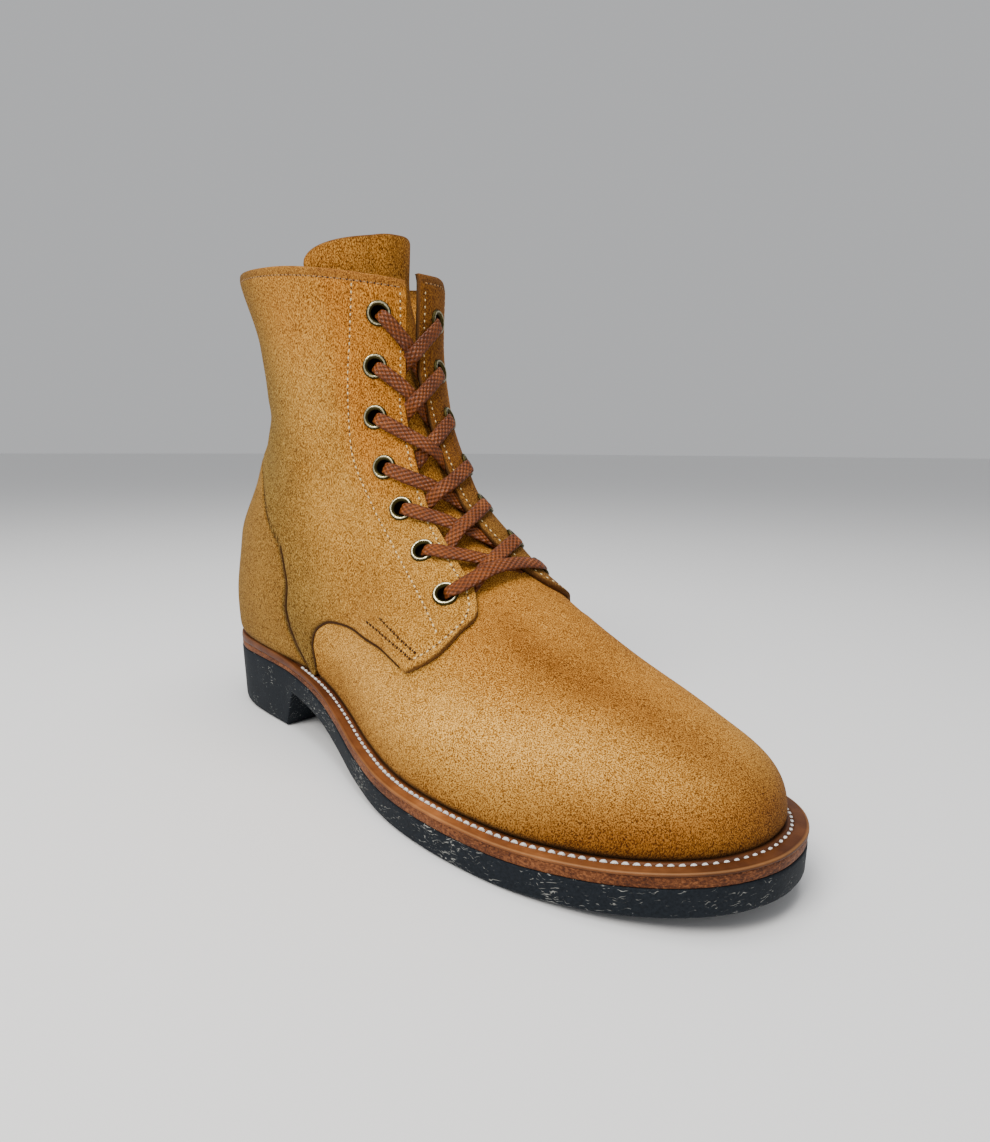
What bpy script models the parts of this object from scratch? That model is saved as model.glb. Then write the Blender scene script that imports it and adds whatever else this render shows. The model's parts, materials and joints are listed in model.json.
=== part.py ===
"""Right-foot ankle boot: plain toe, open lacing, welted sole with a moulded heel.

All sizes are in millimetres. X runs from heel to toe, Y to the wearer's left, Z up from the floor.
The upper is one function of (around, up): around is 0 at the lacing, 0.5 at the back seam,
positive on the outer side; up is 0 at the welt and 1 at the collar.
"""

import math

import bpy
import numpy as np
from mathutils import Vector

MM = 0.001
COLLECTION = "ankle_boot"
# Middle of the finished boot's box on the floor, which becomes the origin
BOX_MIDDLE = np.array([-0.77, -4.3, 0.0])

# Clearances and leather thicknesses
GAP = 0.3
WALL = 2.0
QUARTER_STEP = 1.8
TONGUE_GAP = 0.7
TONGUE_THICK = 1.8
COUNTER_GAP = 0.8
COUNTER_THICK = 1.2
WELT_GAP = 0.4
MIDSOLE_GAP = 0.45
INSOLE_GAP = 0.6

# Sole stack
RUBBER_THICK = 9.3
WELT_SHARE = 0.45
INSOLE_THICK = 3.0
WELT_INSET = 0.2
MIDSOLE_INSET = 0.5
HEEL_BREAST_X = -76.0
BREAST_SLOPE = 8.0
HEEL_BEVEL = 3.8
HEEL_BEVEL_X = -114.0
HEEL_TAPER = 0.97
FOREFOOT_FLAT = (35.0, 75.0)
SOLE_POINTS = 720
SOLE_STATIONS = 40
END_SHARE = 0.02
WAIST_STATIONS = (-93.5, -86.5, -67.5, -59.0)

# Lacing hardware
EYELET_BORE_R = 2.75
EYELET_CREST_R = 3.9
EYELET_RIM_R = 5.0
EYELET_LIP = 0.4
EYELET_CREST = 0.9
EYELET_BASE = 0.9
EYELET_SIDES = 12
SCREW_MERGE_M = 0.00001
LACE_WIDTH = 5.6
LACE_THICK = 1.5
LACE_STEPS = 7
LACE_CLEAR = 1.4
LACE_SETTLE = 0.9
LACE_DROP = 0.45
LACE_REACH = 0.7
BAR_ARCH = 0.005

# Edge of the sole: x, outer side y, inner side y
SOLE_EDGE = np.array([
    (-149, -7.7, 7.7),
    (-145, -15.1, 15.1),
    (-138, -22.6, 22.6),
    (-125, -28.8, 28.8),
    (-105, -31.6, 31.4),
    (-70, -33.4, 31.2),
    (-45, -36.7, 28.6),
    (-25, -41.6, 27.8),
    (0, -49.3, 30.0),
    (25, -55.3, 36.0),
    (50, -57.8, 43.5),
    (75, -56.6, 48.5),
    (95, -52.8, 49.0),
    (115, -45.5, 44.5),
    (133, -34.5, 34.5),
    (143, -24.0, 24.0),
    (149, -11.0, 11.0),
])
SOLE_TOE = (150.3, 0.0)
SOLE_HEEL = (-150.0, 0.0)

# Underside of the rubber above the floor: x, z
ARCH = np.array([
    (-150, 20.8), (-100, 20.6), (-80, 19.7), (-60, 17.2), (-40, 13.3), (-20, 8.0), (0, 3.4),
    (20, 0.6), (35, 0.0), (75, 0.0), (110, 2.0), (150, 7.2),
])
# Welt and midsole together: x, thickness
LEATHER = np.array([(-150, 7.4), (-125, 7.2), (-90, 6.0), (-60, 5.0), (0, 4.85), (150, 4.85)])
# Welt that shows outside the upper: x, width
WELT_WIDTH = np.array([(-150, 3.2), (-110, 3.4), (-60, 5.0), (-20, 6.3), (150, 6.5)])

# Foot of the last: height of the ridge above the welt, and the ridge's y
RIDGE = np.array([
    (-140, 62), (-60, 88), (-20, 100), (10, 93.3), (40, 71.9), (70, 53.5), (95, 42.0), (118, 34.6),
    (146, 31.0),
])
RIDGE_Y = np.array([(-100, 0), (-60, 0), (-20, 4), (20, 9), (50, 10), (90, 7), (120, 3), (143, 0)])
TOE_ROUND_X = 70.0
TOE_ROUND = 2.9
HEEL_ROUND_X = -95.0
OUTER_ROUND = 2.0
INNER_ROUND = 2.3
SIDE_BULGE = 0.05
RIDGE_REACH = 0.5
LEAST_SPAN = 0.5

# Shaft of the last: z, back x, front x, half width
SHAFT = np.array([
    (20, -136, -60, 24),
    (45, -147, -30, 30),
    (65, -149.5, -9.2, 33.8),
    (90, -144.5, -2.2, 34),
    (120, -126, -1.6, 31),
    (150, -113.5, -10.2, 29.5),
    (180, -116.5, -16.3, 31.5),
    (215, -130, -17, 36.5),
    (240, -134, -16, 38),
])
SHAFT_ROUND = 2.25
FORM_SCALE = 42.0
INSTEP_FILLET = 16.0
COLLAR = np.array([(-135, 212.7), (-75, 209.2), (-15, 199.2)])
COLLAR_GUIDE_Z = 205.0

# Search for the last's surface: lines leave this core and end beyond the surface
CORE_LOW = np.array([-20.0, 0.0, 48.0])
CORE_HIGH = np.array([-74.0, 0.0, 196.0])
SEARCH_REACH = 2.6
SEARCH_STEPS = 40
NORMAL_STEP = 0.05

# Lacing line against the last's own front: up, shift around
LACING_LINE = np.array([
    (0, 0), (0.2, 0.024), (0.32, 0.031), (0.4, 0.041), (0.47, 0.047), (0.6, 0.048),
    (0.7, 0.045), (0.8, 0.036), (0.86, 0.027), (1.0, 0.017), (1.15, 0.015),
])
# Front edge of each quarter: up, distance around from the lacing line
FACING = np.array([
    (0.32, 0.052), (0.345, 0.052), (0.383, 0.047), (0.46, 0.041), (0.6, 0.035),
    (0.73, 0.027), (0.8, 0.018), (0.85, 0.0165), (1.0, 0.0145), (1.15, 0.0145),
])
# Lower edge of each quarter over the vamp, and the throat between them: around, up
VAMP_SEAM = np.array([
    (0, 0.345), (0.03, 0.343), (0.045, 0.332), (0.052, 0.32), (0.06, 0.3), (0.07, 0.281),
    (0.104, 0.258), (0.174, 0.199), (0.205, 0.216), (0.249, 0.209), (0.281, 0.194),
    (0.303, 0.16), (0.32, 0.101), (0.329, 0.03), (0.345, 0.06), (0.37, 0.12), (0.5, 0.16),
])
# How far the quarter stands over the vamp: around, share of the step
STEP_SHARE = np.array([(0, 1), (0.174, 1), (0.205, 0.55), (0.249, 0.2), (0.3, 0.12), (0.5, 0.08)])
# Top edge of the heel counter: share of the way from its front edge to the back seam, up
COUNTER_TOP = np.array([(0, 0.335), (0.03, 0.36), (0.08, 0.4), (0.16, 0.474), (0.35, 0.53), (1, 0.56)])
# Front edge of the heel counter: up, around
COUNTER_EDGE = np.array([
    (0, 0.34), (0.087, 0.338), (0.161, 0.332), (0.257, 0.323), (0.332, 0.323), (0.56, 0.335),
])
COUNTER_FOOT = 0.026
COUNTER_ROWS = 9
COUNTER_COLUMNS = np.array([0, 0.03, 0.08, 0.16, 0.26, 0.38, 0.5, 0.62, 0.75, 0.88, 1])
# Eyelets of the outer and the inner side, from the throat to the collar: around, up
OUTER_EYELETS = np.array([
    (0.096, 0.313), (0.091, 0.384), (0.095, 0.472), (0.106, 0.569),
    (0.098, 0.686), (0.082, 0.805), (0.068, 0.923),
])
INNER_EYELETS = np.array([
    (0.106, 0.34), (0.1, 0.397), (0.1, 0.473), (0.106, 0.569),
    (0.098, 0.686), (0.082, 0.805), (0.068, 0.923),
])
EYELETS = {1: OUTER_EYELETS, -1: INNER_EYELETS}

# Grid lines of the upper: around on one side, and up as shares below and above the seam
AROUND = np.array([
    0, 0.013, 0.026, 0.039, 0.052, 0.06, 0.07, 0.086, 0.104, 0.127, 0.15, 0.174, 0.19, 0.205,
    0.227, 0.249, 0.265, 0.281, 0.293, 0.303, 0.312, 0.32, 0.329, 0.345, 0.37, 0.4, 0.43, 0.465, 0.5,
])
FACING_COLUMN = 4
TONGUE_COLUMN = 13
VAMP_ROWS = np.array([0, 0.1, 0.22, 0.36, 0.5, 0.64, 0.78, 0.9, 1.0])
QUARTER_ROWS = np.linspace(0.0, 1.0, 12)
SEAM_SLANT = 0.0015
TONGUE_TUCK = 0.9
TONGUE_RISE = 0.09
TONGUE_TOP_ROWS = 4
TONGUE_ROUND = 0.65
TONGUE_EDGE_RISE = 0.006
# The tongue's top falls back from the facings: how far, over which height, and where it ends each side
TONGUE_LEAN = 9.0
TONGUE_LEAN_UP = (0.75, 1.02)
TONGUE_LEAN_OUTER = (0.05, 0.17)
TONGUE_LEAN_INNER = (0.16, 0.28)

MATERIALS = {
    "suede": ((0.50, 0.29, 0.12), 0.95, 0.0),
    "welt_leather": ((0.27, 0.11, 0.05), 0.5, 0.0),
    "midsole_leather": ((0.20, 0.09, 0.045), 0.7, 0.0),
    "sole_rubber": ((0.03, 0.03, 0.032), 0.8, 0.0),
    "insole_leather": ((0.45, 0.30, 0.18), 0.7, 0.0),
    "antique_brass": ((0.42, 0.33, 0.17), 0.4, 1.0),
    "lace_cord": ((0.30, 0.10, 0.045), 0.5, 0.0),
}


def smooth(table, x, column=1):
    """Monotone cubic through one column of a table, held level beyond both ends."""
    xs, ys = table[:, 0].astype(float), table[:, column].astype(float)
    step = np.diff(xs)
    rise = np.diff(ys) / step
    slope = np.concatenate([rise[:1], np.zeros(len(xs) - 2), rise[-1:]])
    same = rise[:-1] * rise[1:] > 0
    before, after = rise[:-1][same], rise[1:][same]
    late, early = (2 * step[1:] + step[:-1])[same], (step[1:] + 2 * step[:-1])[same]
    slope[1:-1][same] = (late + early) / (late / before + early / after)
    x = np.clip(x, xs[0], xs[-1])
    i = np.clip(np.searchsorted(xs, x) - 1, 0, len(step) - 1)
    t = (x - xs[i]) / step[i]
    ends = ys[i] * (1 + 2 * t) * (1 - t) ** 2 + ys[i + 1] * t * t * (3 - 2 * t)
    return ends + step[i] * (slope[i] * t * (1 - t) ** 2 + slope[i + 1] * t * t * (t - 1))


def closed_curve(points, count):
    """Smooth loop through the points, as count points evenly spread between them."""
    points = np.asarray(points, float)
    reach = np.linalg.norm(np.roll(points, -1, 0) - points, axis=1)
    gap = np.sqrt(reach * reach.mean())
    knots = np.concatenate([[0], np.cumsum(gap)])
    slope = (np.roll(points, -1, 0) - points) / gap[:, None]
    last_gap = np.roll(gap, 1)
    mixed = np.roll(slope, 1, 0) * gap[:, None] + slope * last_gap[:, None]
    tangent = mixed / (gap + last_gap)[:, None]
    at = np.linspace(0, knots[-1], count, endpoint=False)
    i = np.searchsorted(knots, at, side="right") - 1
    nxt = (i + 1) % len(points)
    t = ((at - knots[i]) / gap[i])[:, None]
    span = gap[i][:, None]
    ends = points[i] * (1 + 2 * t) * (1 - t) ** 2 + points[nxt] * t * t * (3 - 2 * t)
    return ends + span * (tangent[i] * t * (1 - t) ** 2 + tangent[nxt] * t * t * (t - 1))


def moved_in(loop, distance):
    """The loop moved towards its inside; a negative distance moves it out."""
    along = np.roll(loop, -1, 0) - np.roll(loop, 1, 0)
    along /= np.linalg.norm(along, axis=1)[:, None]
    inward = np.stack([along[:, 1], -along[:, 0]], axis=1)
    if ((loop.mean(0) - loop) * inward).sum() < 0:
        inward = -inward
    return loop + inward * np.reshape(distance, (-1, 1))


def sides_of(loop):
    """Tables (x, y) of a loop's outer side and inner side, both from heel to toe."""
    toe, heel = loop[:, 0].argmax(), loop[:, 0].argmin()
    loop = np.roll(loop, -toe, axis=0)
    heel = (heel - toe) % len(loop)
    outer = loop[: heel + 1][::-1]
    inner = np.concatenate([loop[heel:], loop[:1]])
    return outer, inner


def sole_loop():
    outer = SOLE_EDGE[::-1][:, [0, 1]]
    inner = SOLE_EDGE[:, [0, 2]]
    return closed_curve(np.vstack([[SOLE_TOE], outer, [SOLE_HEEL], inner]), SOLE_POINTS)


SOLE = sole_loop()
FEATHER = moved_in(SOLE, smooth(WELT_WIDTH, SOLE[:, 0]))
FEATHER_OUTER, FEATHER_INNER = sides_of(FEATHER)
FEATHER_TOE, FEATHER_HEEL = FEATHER[:, 0].max(), FEATHER[:, 0].min()


def rubber_bottom(x):
    return smooth(ARCH, x)


def welt_top(x):
    return rubber_bottom(x) + RUBBER_THICK + smooth(LEATHER, x)


def welt_bottom(x):
    return welt_top(x) - WELT_SHARE * smooth(LEATHER, x)


def foot_depth(x, y, z):
    """How far inside the foot of the last a point is, roughly in millimetres."""
    toe = np.clip((x - TOE_ROUND_X) / (FEATHER_TOE - TOE_ROUND_X), 0, 1)
    heel = np.clip((HEEL_ROUND_X - x) / (HEEL_ROUND_X - FEATHER_HEEL), 0, 1)
    drop = (1 - toe**TOE_ROUND) ** (1 / TOE_ROUND) * np.sqrt(1 - heel**2)
    height = np.maximum(z - welt_top(x), 0) / np.maximum(smooth(RIDGE, x) * drop, LEAST_SPAN)
    level = np.clip(height, 0, 1)
    bulge = 1 + SIDE_BULGE * 4 * level * (1 - level)
    outer = -np.interp(x, FEATHER_OUTER[:, 0], FEATHER_OUTER[:, 1])
    inner = np.interp(x, FEATHER_INNER[:, 0], FEATHER_INNER[:, 1])
    ridge = np.clip(smooth(RIDGE_Y, x), -RIDGE_REACH * outer, RIDGE_REACH * inner)
    on_outer = y < ridge
    width = np.where(on_outer, outer * bulge + ridge, inner * bulge - ridge)
    width = np.maximum(width, LEAST_SPAN)
    power = np.where(on_outer, OUTER_ROUND, INNER_ROUND)
    reach = (np.abs((y - ridge) / width) ** power + height**2) ** (2 / (power + 2))
    beyond = (x > FEATHER_TOE) | (x < FEATHER_HEEL)
    return np.where(beyond, -FORM_SCALE, np.maximum((1 - reach) * FORM_SCALE, -FORM_SCALE))


def shaft_depth(x, y, z):
    """How far inside the shaft of the last a point is, roughly in millimetres."""
    back, front, half = (smooth(SHAFT, z, column) for column in (1, 2, 3))
    along = np.abs((2 * x - front - back) / (front - back))
    across = np.abs(y / half)
    return (1 - (along**SHAFT_ROUND + across**SHAFT_ROUND) ** (1 / SHAFT_ROUND)) * FORM_SCALE


def last_depth(point):
    """Foot and shaft joined with a fillet at the instep."""
    x, y, z = point[..., 0], point[..., 1], point[..., 2]
    foot, shaft = foot_depth(x, y, z), shaft_depth(x, y, z)
    mix = np.clip(0.5 + 0.5 * (foot - shaft) / INSTEP_FILLET, 0, 1)
    return foot * mix + shaft * (1 - mix) + INSTEP_FILLET * mix * (1 - mix)


def guide(around, up):
    """A point outside or near the last, for each grid line to aim at."""
    share = (around % 1) * len(FEATHER)
    index = np.arange(len(FEATHER) + 1)
    x = np.interp(share, index, np.append(FEATHER[:, 0], FEATHER[0, 0]))
    y = np.interp(share, index, np.append(FEATHER[:, 1], FEATHER[0, 1]))
    feather = np.stack([x, y, welt_top(x)], -1)
    back, front, half = (smooth(SHAFT, COLLAR_GUIDE_Z, column) for column in (1, 2, 3))
    turn = 2 * math.pi * around
    x = (back + front) / 2 + (front - back) / 2 * np.cos(turn)
    collar = np.stack([x, -half * np.sin(turn), smooth(COLLAR, x)], -1)
    return feather + (collar - feather) * up[..., None]


def on_last(around, up):
    """Points of the last's surface, found along lines out of its core."""
    around, up = np.broadcast_arrays(np.asarray(around, float), np.asarray(up, float))
    around = around + smooth(LACING_LINE, up) * (1 - 2 * np.abs(around))
    core = CORE_LOW + (CORE_HIGH - CORE_LOW) * up[..., None]
    line = guide(around, up) - core
    near, far = np.zeros(up.shape), np.full(up.shape, SEARCH_REACH)
    for _ in range(SEARCH_STEPS):
        middle = (near + far) / 2
        inside = last_depth(core + line * middle[..., None]) > 0
        near, far = np.where(inside, middle, near), np.where(inside, far, middle)
    return core + line * near[..., None]


def outward(point):
    """Unit normals of the last at points on it."""
    steps = np.eye(3) * NORMAL_STEP
    slope = [last_depth(point - step) - last_depth(point + step) for step in steps]
    normal = np.stack(slope, -1)
    return normal / np.linalg.norm(normal, axis=-1, keepdims=True)


def leather(around, up, lift):
    """Points a given height above the last's surface."""
    point = on_last(around, up)
    return point + outward(point) * np.broadcast_to(lift, point.shape[:-1])[..., None]


def quarter_lift(around):
    return QUARTER_STEP * smooth(STEP_SHARE, np.abs(around))


def quarter_columns(columns, up):
    """Grid lines above the throat, drawn in so that the first one follows the facing edge."""
    start = AROUND[FACING_COLUMN]
    edge = smooth(FACING, up)
    share = (np.abs(columns) - start) / (0.5 - start)
    beside = edge + (0.5 - edge) * share
    between = np.abs(columns) / start * edge
    return np.sign(columns) * np.where(share >= 0, beside, between)


def collection_of(name):
    made = bpy.data.collections.get(name)
    if made is None:
        made = bpy.data.collections.new(name)
        bpy.context.scene.collection.children.link(made)
    return made


def material_of(name):
    made = bpy.data.materials.get(name)
    if made is None:
        colour, roughness, metallic = MATERIALS[name]
        made = bpy.data.materials.new(name)
        made.use_nodes = True
        shader = made.node_tree.nodes["Principled BSDF"]
        shader.inputs["Base Color"].default_value = (*colour, 1.0)
        shader.inputs["Roughness"].default_value = roughness
        shader.inputs["Metallic"].default_value = metallic
    return made


def volume_of(points, faces):
    corners = [(face[0], face[i], face[i + 1]) for face in faces for i in range(1, len(face) - 1)]
    return np.linalg.det(points[np.array(corners)]).sum()


def add_object(name, material, points, faces, collection=COLLECTION):
    if volume_of(points, faces) < 0:
        faces = [face[::-1] for face in faces]
    mesh = bpy.data.meshes.new(name)
    mesh.from_pydata(((points - BOX_MIDDLE) * MM).tolist(), [], faces)
    mesh.materials.append(material_of(material))
    made = bpy.data.objects.new(name, mesh)
    collection_of(collection).objects.link(made)
    return made


def quads_of(rows):
    """Faces of a grid of point numbers."""
    rows = np.asarray(rows)
    corners = (rows[:-1, :-1], rows[:-1, 1:], rows[1:, 1:], rows[1:, :-1])
    return np.stack(corners, -1).reshape(-1, 4).tolist()


def add_shell(name, material, outer, inner, quads, collection=COLLECTION):
    """A solid between two sheets of the same layout, closed along every free edge."""
    count = len(outer)
    edges = {(face[i - 1], face[i]) for face in quads for i in range(len(face))}
    free = [(a, b) for a, b in sorted(edges) if (b, a) not in edges]
    rim = [[b, a, a + count, b + count] for a, b in free]
    back = [[i + count for i in face[::-1]] for face in quads]
    points = np.concatenate([outer, inner])
    return add_object(name, material, points, quads + back + rim, collection)


def add_plate(name, material, outline, top, bottom, squeeze=None, breaks=()):
    """A sole layer: cross strips from heel to toe between two height functions."""
    outer, inner = sides_of(outline)
    heel, toe = outline[:, 0].min(), outline[:, 0].max()
    share = (1 - np.cos(np.linspace(END_SHARE, 1 - END_SHARE, SOLE_STATIONS) * math.pi)) / 2
    x = np.sort(np.concatenate([heel + (toe - heel) * share, WAIST_STATIONS, breaks]))
    edges = [np.interp(x, side[:, 0], side[:, 1]) for side in (outer, inner)]
    narrow = np.ones(len(x)) if squeeze is None else squeeze(x)
    above = np.concatenate([np.stack([x, y, top(x)], 1) for y in edges])
    below = np.concatenate([np.stack([x, y * narrow, bottom(x)], 1) for y in edges])
    rows = np.arange(2 * len(x)).reshape(2, -1)
    return add_shell(name, material, above, below, quads_of(rows))


def breast_share(x):
    """0 under the heel block, 1 in front of it, and between them along its sloping breast."""
    return np.clip((x - HEEL_BREAST_X) / BREAST_SLOPE + 0.5, 0, 1)


def under_heel(x):
    """Height of the sole's underside: the heel block is on the floor, with its back edge cut up."""
    bevel = np.clip((HEEL_BEVEL_X - x) / (HEEL_BEVEL_X - SOLE_HEEL[0]), 0, 1)
    return rubber_bottom(x) * breast_share(x) + HEEL_BEVEL * bevel


def heel_squeeze(x):
    return HEEL_TAPER + (1 - HEEL_TAPER) * breast_share(x)


def add_outsole():
    breast = (HEEL_BREAST_X - BREAST_SLOPE / 2, HEEL_BREAST_X + BREAST_SLOPE / 2)
    add_plate(
        "outsole", "sole_rubber", SOLE,
        lambda x: rubber_bottom(x) + RUBBER_THICK - GAP / 2,
        under_heel, heel_squeeze, (*breast, HEEL_BEVEL_X, *FOREFOOT_FLAT),
    )


def add_midsole():
    add_plate(
        "midsole", "midsole_leather", moved_in(SOLE, MIDSOLE_INSET),
        lambda x: welt_bottom(x) - MIDSOLE_GAP,
        lambda x: rubber_bottom(x) + RUBBER_THICK + GAP / 2,
    )


def around_columns():
    """Grid lines right round the boot, from the toe by the outer side."""
    return np.concatenate([AROUND, -AROUND[-2:0:-1]])


def foot_rings():
    """Outer and inner loops (x, y) where the upper's wall stands on the midsole."""
    columns = around_columns()
    floor = np.zeros(len(columns))
    return leather(columns, floor, 0.0)[:, :2], leather(columns, floor, -WALL)[:, :2]


def add_welt():
    inner = moved_in(foot_rings()[0], -WELT_GAP)
    outer = moved_in(SOLE, WELT_INSET)
    pick = [np.argmin(np.hypot(*(outer - point).T)) for point in inner]
    count = len(inner)
    loops = np.concatenate([inner, outer[pick]])
    top = np.column_stack([loops, welt_top(loops[:, 0])])
    bottom = np.column_stack([loops, welt_bottom(loops[:, 0])])
    rows = np.arange(2 * count).reshape(2, -1)
    rows = np.concatenate([rows, rows[:, :1]], axis=1)
    add_shell("welt", "welt_leather", top, bottom, quads_of(rows))


def add_insole():
    add_plate(
        "insole", "insole_leather", moved_in(foot_rings()[1], INSOLE_GAP),
        lambda x: welt_bottom(x) + INSOLE_THICK,
        welt_bottom,
    )


def upper_layout():
    """Around, up and lift of every row of the upper, from the welt to the collar."""
    columns = around_columns()
    seam = smooth(VAMP_SEAM, np.abs(columns))
    vamp_up = VAMP_ROWS[:, None] * seam
    vamp_around = np.broadcast_to(columns, vamp_up.shape)
    quarter_up = seam + SEAM_SLANT + (1 - seam - SEAM_SLANT) * QUARTER_ROWS[:, None]
    quarter_around = quarter_columns(np.broadcast_to(columns, quarter_up.shape), quarter_up)
    quarter_raise = np.broadcast_to(quarter_lift(columns), quarter_up.shape)
    around = np.concatenate([vamp_around, quarter_around])
    up = np.concatenate([vamp_up, quarter_up])
    lift = np.concatenate([np.zeros(vamp_up.shape), quarter_raise])
    return around, up, lift


def add_upper():
    around, up, lift = upper_layout()
    outer = leather(around, up, lift)
    inner = leather(around, up, -WALL)
    sheets = []
    for sheet in (outer, inner):
        foot = sheet[:1].copy()
        foot[..., 2] = welt_bottom(foot[..., 0])
        sheets.append(np.concatenate([foot, sheet]))
    rows, columns = sheets[0].shape[:2]
    numbers = np.arange(rows * columns).reshape(rows, columns)
    below = numbers[: len(VAMP_ROWS) + 1]
    below = np.concatenate([below, below[:, :1]], axis=1)
    above = numbers[len(VAMP_ROWS):, FACING_COLUMN:columns - FACING_COLUMN + 1]
    quads = quads_of(below) + quads_of(above)
    used = np.unique(np.array(quads))
    renumber = np.zeros(rows * columns, int)
    renumber[used] = np.arange(len(used))
    outer, inner = (sheet.reshape(-1, 3)[used] for sheet in sheets)
    add_shell("upper", "suede", outer, inner, renumber[np.array(quads)].tolist())


def eased(x, ends):
    """Smooth step from 0 to 1 between two values."""
    share = np.clip((x - ends[0]) / (ends[1] - ends[0]), 0, 1)
    return share * share * (3 - 2 * share)


def add_tongue():
    half = AROUND[: TONGUE_COLUMN + 1]
    columns = np.concatenate([-half[:0:-1], half])
    seam = smooth(VAMP_SEAM, np.abs(columns))
    spread = quarter_columns(columns, np.ones(len(columns)))
    crown = TONGUE_RISE * (1 - (spread / spread[-1]) ** 2) ** TONGUE_ROUND + TONGUE_EDGE_RISE
    body = seam + (1 - seam) * QUARTER_ROWS[:, None]
    top = 1 + crown * np.linspace(0, 1, TONGUE_TOP_ROWS + 1)[1:, None]
    up = np.concatenate([TONGUE_TUCK * seam[None], body, top])
    around = quarter_columns(np.broadcast_to(columns, up.shape), up)
    width = (1 - eased(around, TONGUE_LEAN_OUTER)) * (1 - eased(-around, TONGUE_LEAN_INNER))
    lean = eased(up, TONGUE_LEAN_UP) * width
    depth = WALL + TONGUE_GAP + TONGUE_LEAN * lean
    outer = leather(around, up, -depth).reshape(-1, 3)
    inner = leather(around, up, -depth - TONGUE_THICK).reshape(-1, 3)
    numbers = np.arange(len(outer)).reshape(up.shape)
    add_shell("tongue", "suede", outer, inner, quads_of(numbers))


def add_counter():
    across = COUNTER_COLUMNS
    rise = np.linspace(0, 1, COUNTER_ROWS)[:, None]
    up = COUNTER_FOOT + (smooth(COUNTER_TOP, across) - COUNTER_FOOT) * rise
    edge = smooth(COUNTER_EDGE, up)
    outer_half = edge + (0.5 - edge) * across
    around = np.concatenate([outer_half, -outer_half[:, -2::-1]], axis=1)
    up = np.concatenate([up, up[:, -2::-1]], axis=1)
    base = quarter_lift(around) + COUNTER_GAP
    outer = leather(around, up, base + COUNTER_THICK).reshape(-1, 3)
    inner = leather(around, up, base).reshape(-1, 3)
    numbers = np.arange(len(outer)).reshape(up.shape)
    add_shell("counter", "suede", outer, inner, quads_of(numbers))


def add_eyelet(name, around, up):
    """A turned brass ring standing on the quarter, its hole along the leather's normal."""
    point = on_last(np.array([around]), np.array([up]))
    normal = outward(point)[0]
    seat = point[0] + normal * (quarter_lift(around) + EYELET_BASE)
    profile = (
        (EYELET_BORE_R, 0.0), (EYELET_BORE_R, EYELET_LIP), (EYELET_CREST_R, EYELET_CREST),
        (EYELET_RIM_R, EYELET_LIP), (EYELET_RIM_R, 0.0),
    )
    mesh = bpy.data.meshes.new(name)
    edges = [(i, (i + 1) % len(profile)) for i in range(len(profile))]
    mesh.from_pydata([(r * MM, 0.0, h * MM) for r, h in profile], edges, [])
    mesh.materials.append(material_of("antique_brass"))
    made = bpy.data.objects.new(name, mesh)
    made.location = (seat - BOX_MIDDLE) * MM
    made.rotation_euler = Vector(normal).to_track_quat("Z", "Y").to_euler()
    collection_of(COLLECTION).objects.link(made)
    turn = made.modifiers.new("turn", "SCREW")
    turn.axis = "Z"
    turn.steps = EYELET_SIDES
    turn.render_steps = EYELET_SIDES
    turn.use_merge_vertices = True
    turn.merge_threshold = SCREW_MERGE_M


def add_eyelets():
    for number, (around, up) in enumerate(OUTER_EYELETS, start=1):
        add_eyelet(f"eyelet_outer_{number}", around, up)
    for number, (around, up) in enumerate(INNER_EYELETS, start=1):
        add_eyelet(f"eyelet_inner_{number}", -around, up)


def add_lace(name, path, collection=COLLECTION):
    """A flat lace along rows of (around, up, lift)."""
    around, up, lift = np.array(path).T
    point = on_last(around, up)
    normal = outward(point)
    along = np.gradient(point, axis=0)
    side = np.cross(normal, along)
    side *= LACE_WIDTH / 2 / np.linalg.norm(side, axis=1)[:, None]
    foot = point + normal * lift[:, None]
    bottom = np.concatenate([foot - side, foot + side])
    top = bottom + np.concatenate([normal, normal]) * LACE_THICK
    rows = np.arange(len(top)).reshape(2, -1)
    return add_shell(name, "lace_cord", top, bottom, quads_of(rows), collection)


def over_eyelet(around):
    """Height of a lace's underside where it leaves an eyelet."""
    return quarter_lift(around) + EYELET_BASE + EYELET_CREST + LACE_CLEAR


def strand(number, sign):
    """Path of one strand: out of an eyelet, over its facing, and across towards the eyelet below."""
    start, below = EYELETS[sign][number], EYELETS[-sign][number - 1]
    share = np.linspace(0, 1, LACE_STEPS)
    end_up = below[1] + LACE_DROP * (start[1] - below[1])
    up = start[1] + (end_up - start[1]) * share
    around = start[0] * (1 - share) - LACE_REACH * smooth(FACING, end_up) * share
    lift = over_eyelet(start[0]) - LACE_SETTLE * share
    return np.stack([sign * around, up, lift], 1)


def lowest_bar():
    """Path of the lace's bar between the two lowest eyelets."""
    outer, inner = OUTER_EYELETS[0], INNER_EYELETS[0]
    share = np.linspace(0, 1, 2 * LACE_STEPS)
    around = outer[0] * (1 - share) - inner[0] * share
    up = outer[1] * (1 - share) + inner[1] * share + BAR_ARCH * 4 * share * (1 - share)
    return np.stack([around, up, np.full(len(share), over_eyelet(outer[0]))], 1)


def add_laces():
    add_lace("lace_bar", lowest_bar())
    for number in range(1, len(OUTER_EYELETS)):
        crossing = add_lace(f"lace_cross_{number + 1}", strand(number, 1))
        other = add_lace(f"lace_under_{number + 1}", strand(number, -1), "cutters")
        other.hide_render = True
        other.display_type = "WIRE"
        join = crossing.modifiers.new("join", "BOOLEAN")
        join.operation = "UNION"
        join.solver = "EXACT"
        join.object = other


def clear_scene():
    for old in list(bpy.data.objects):
        bpy.data.objects.remove(old, do_unlink=True)


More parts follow.
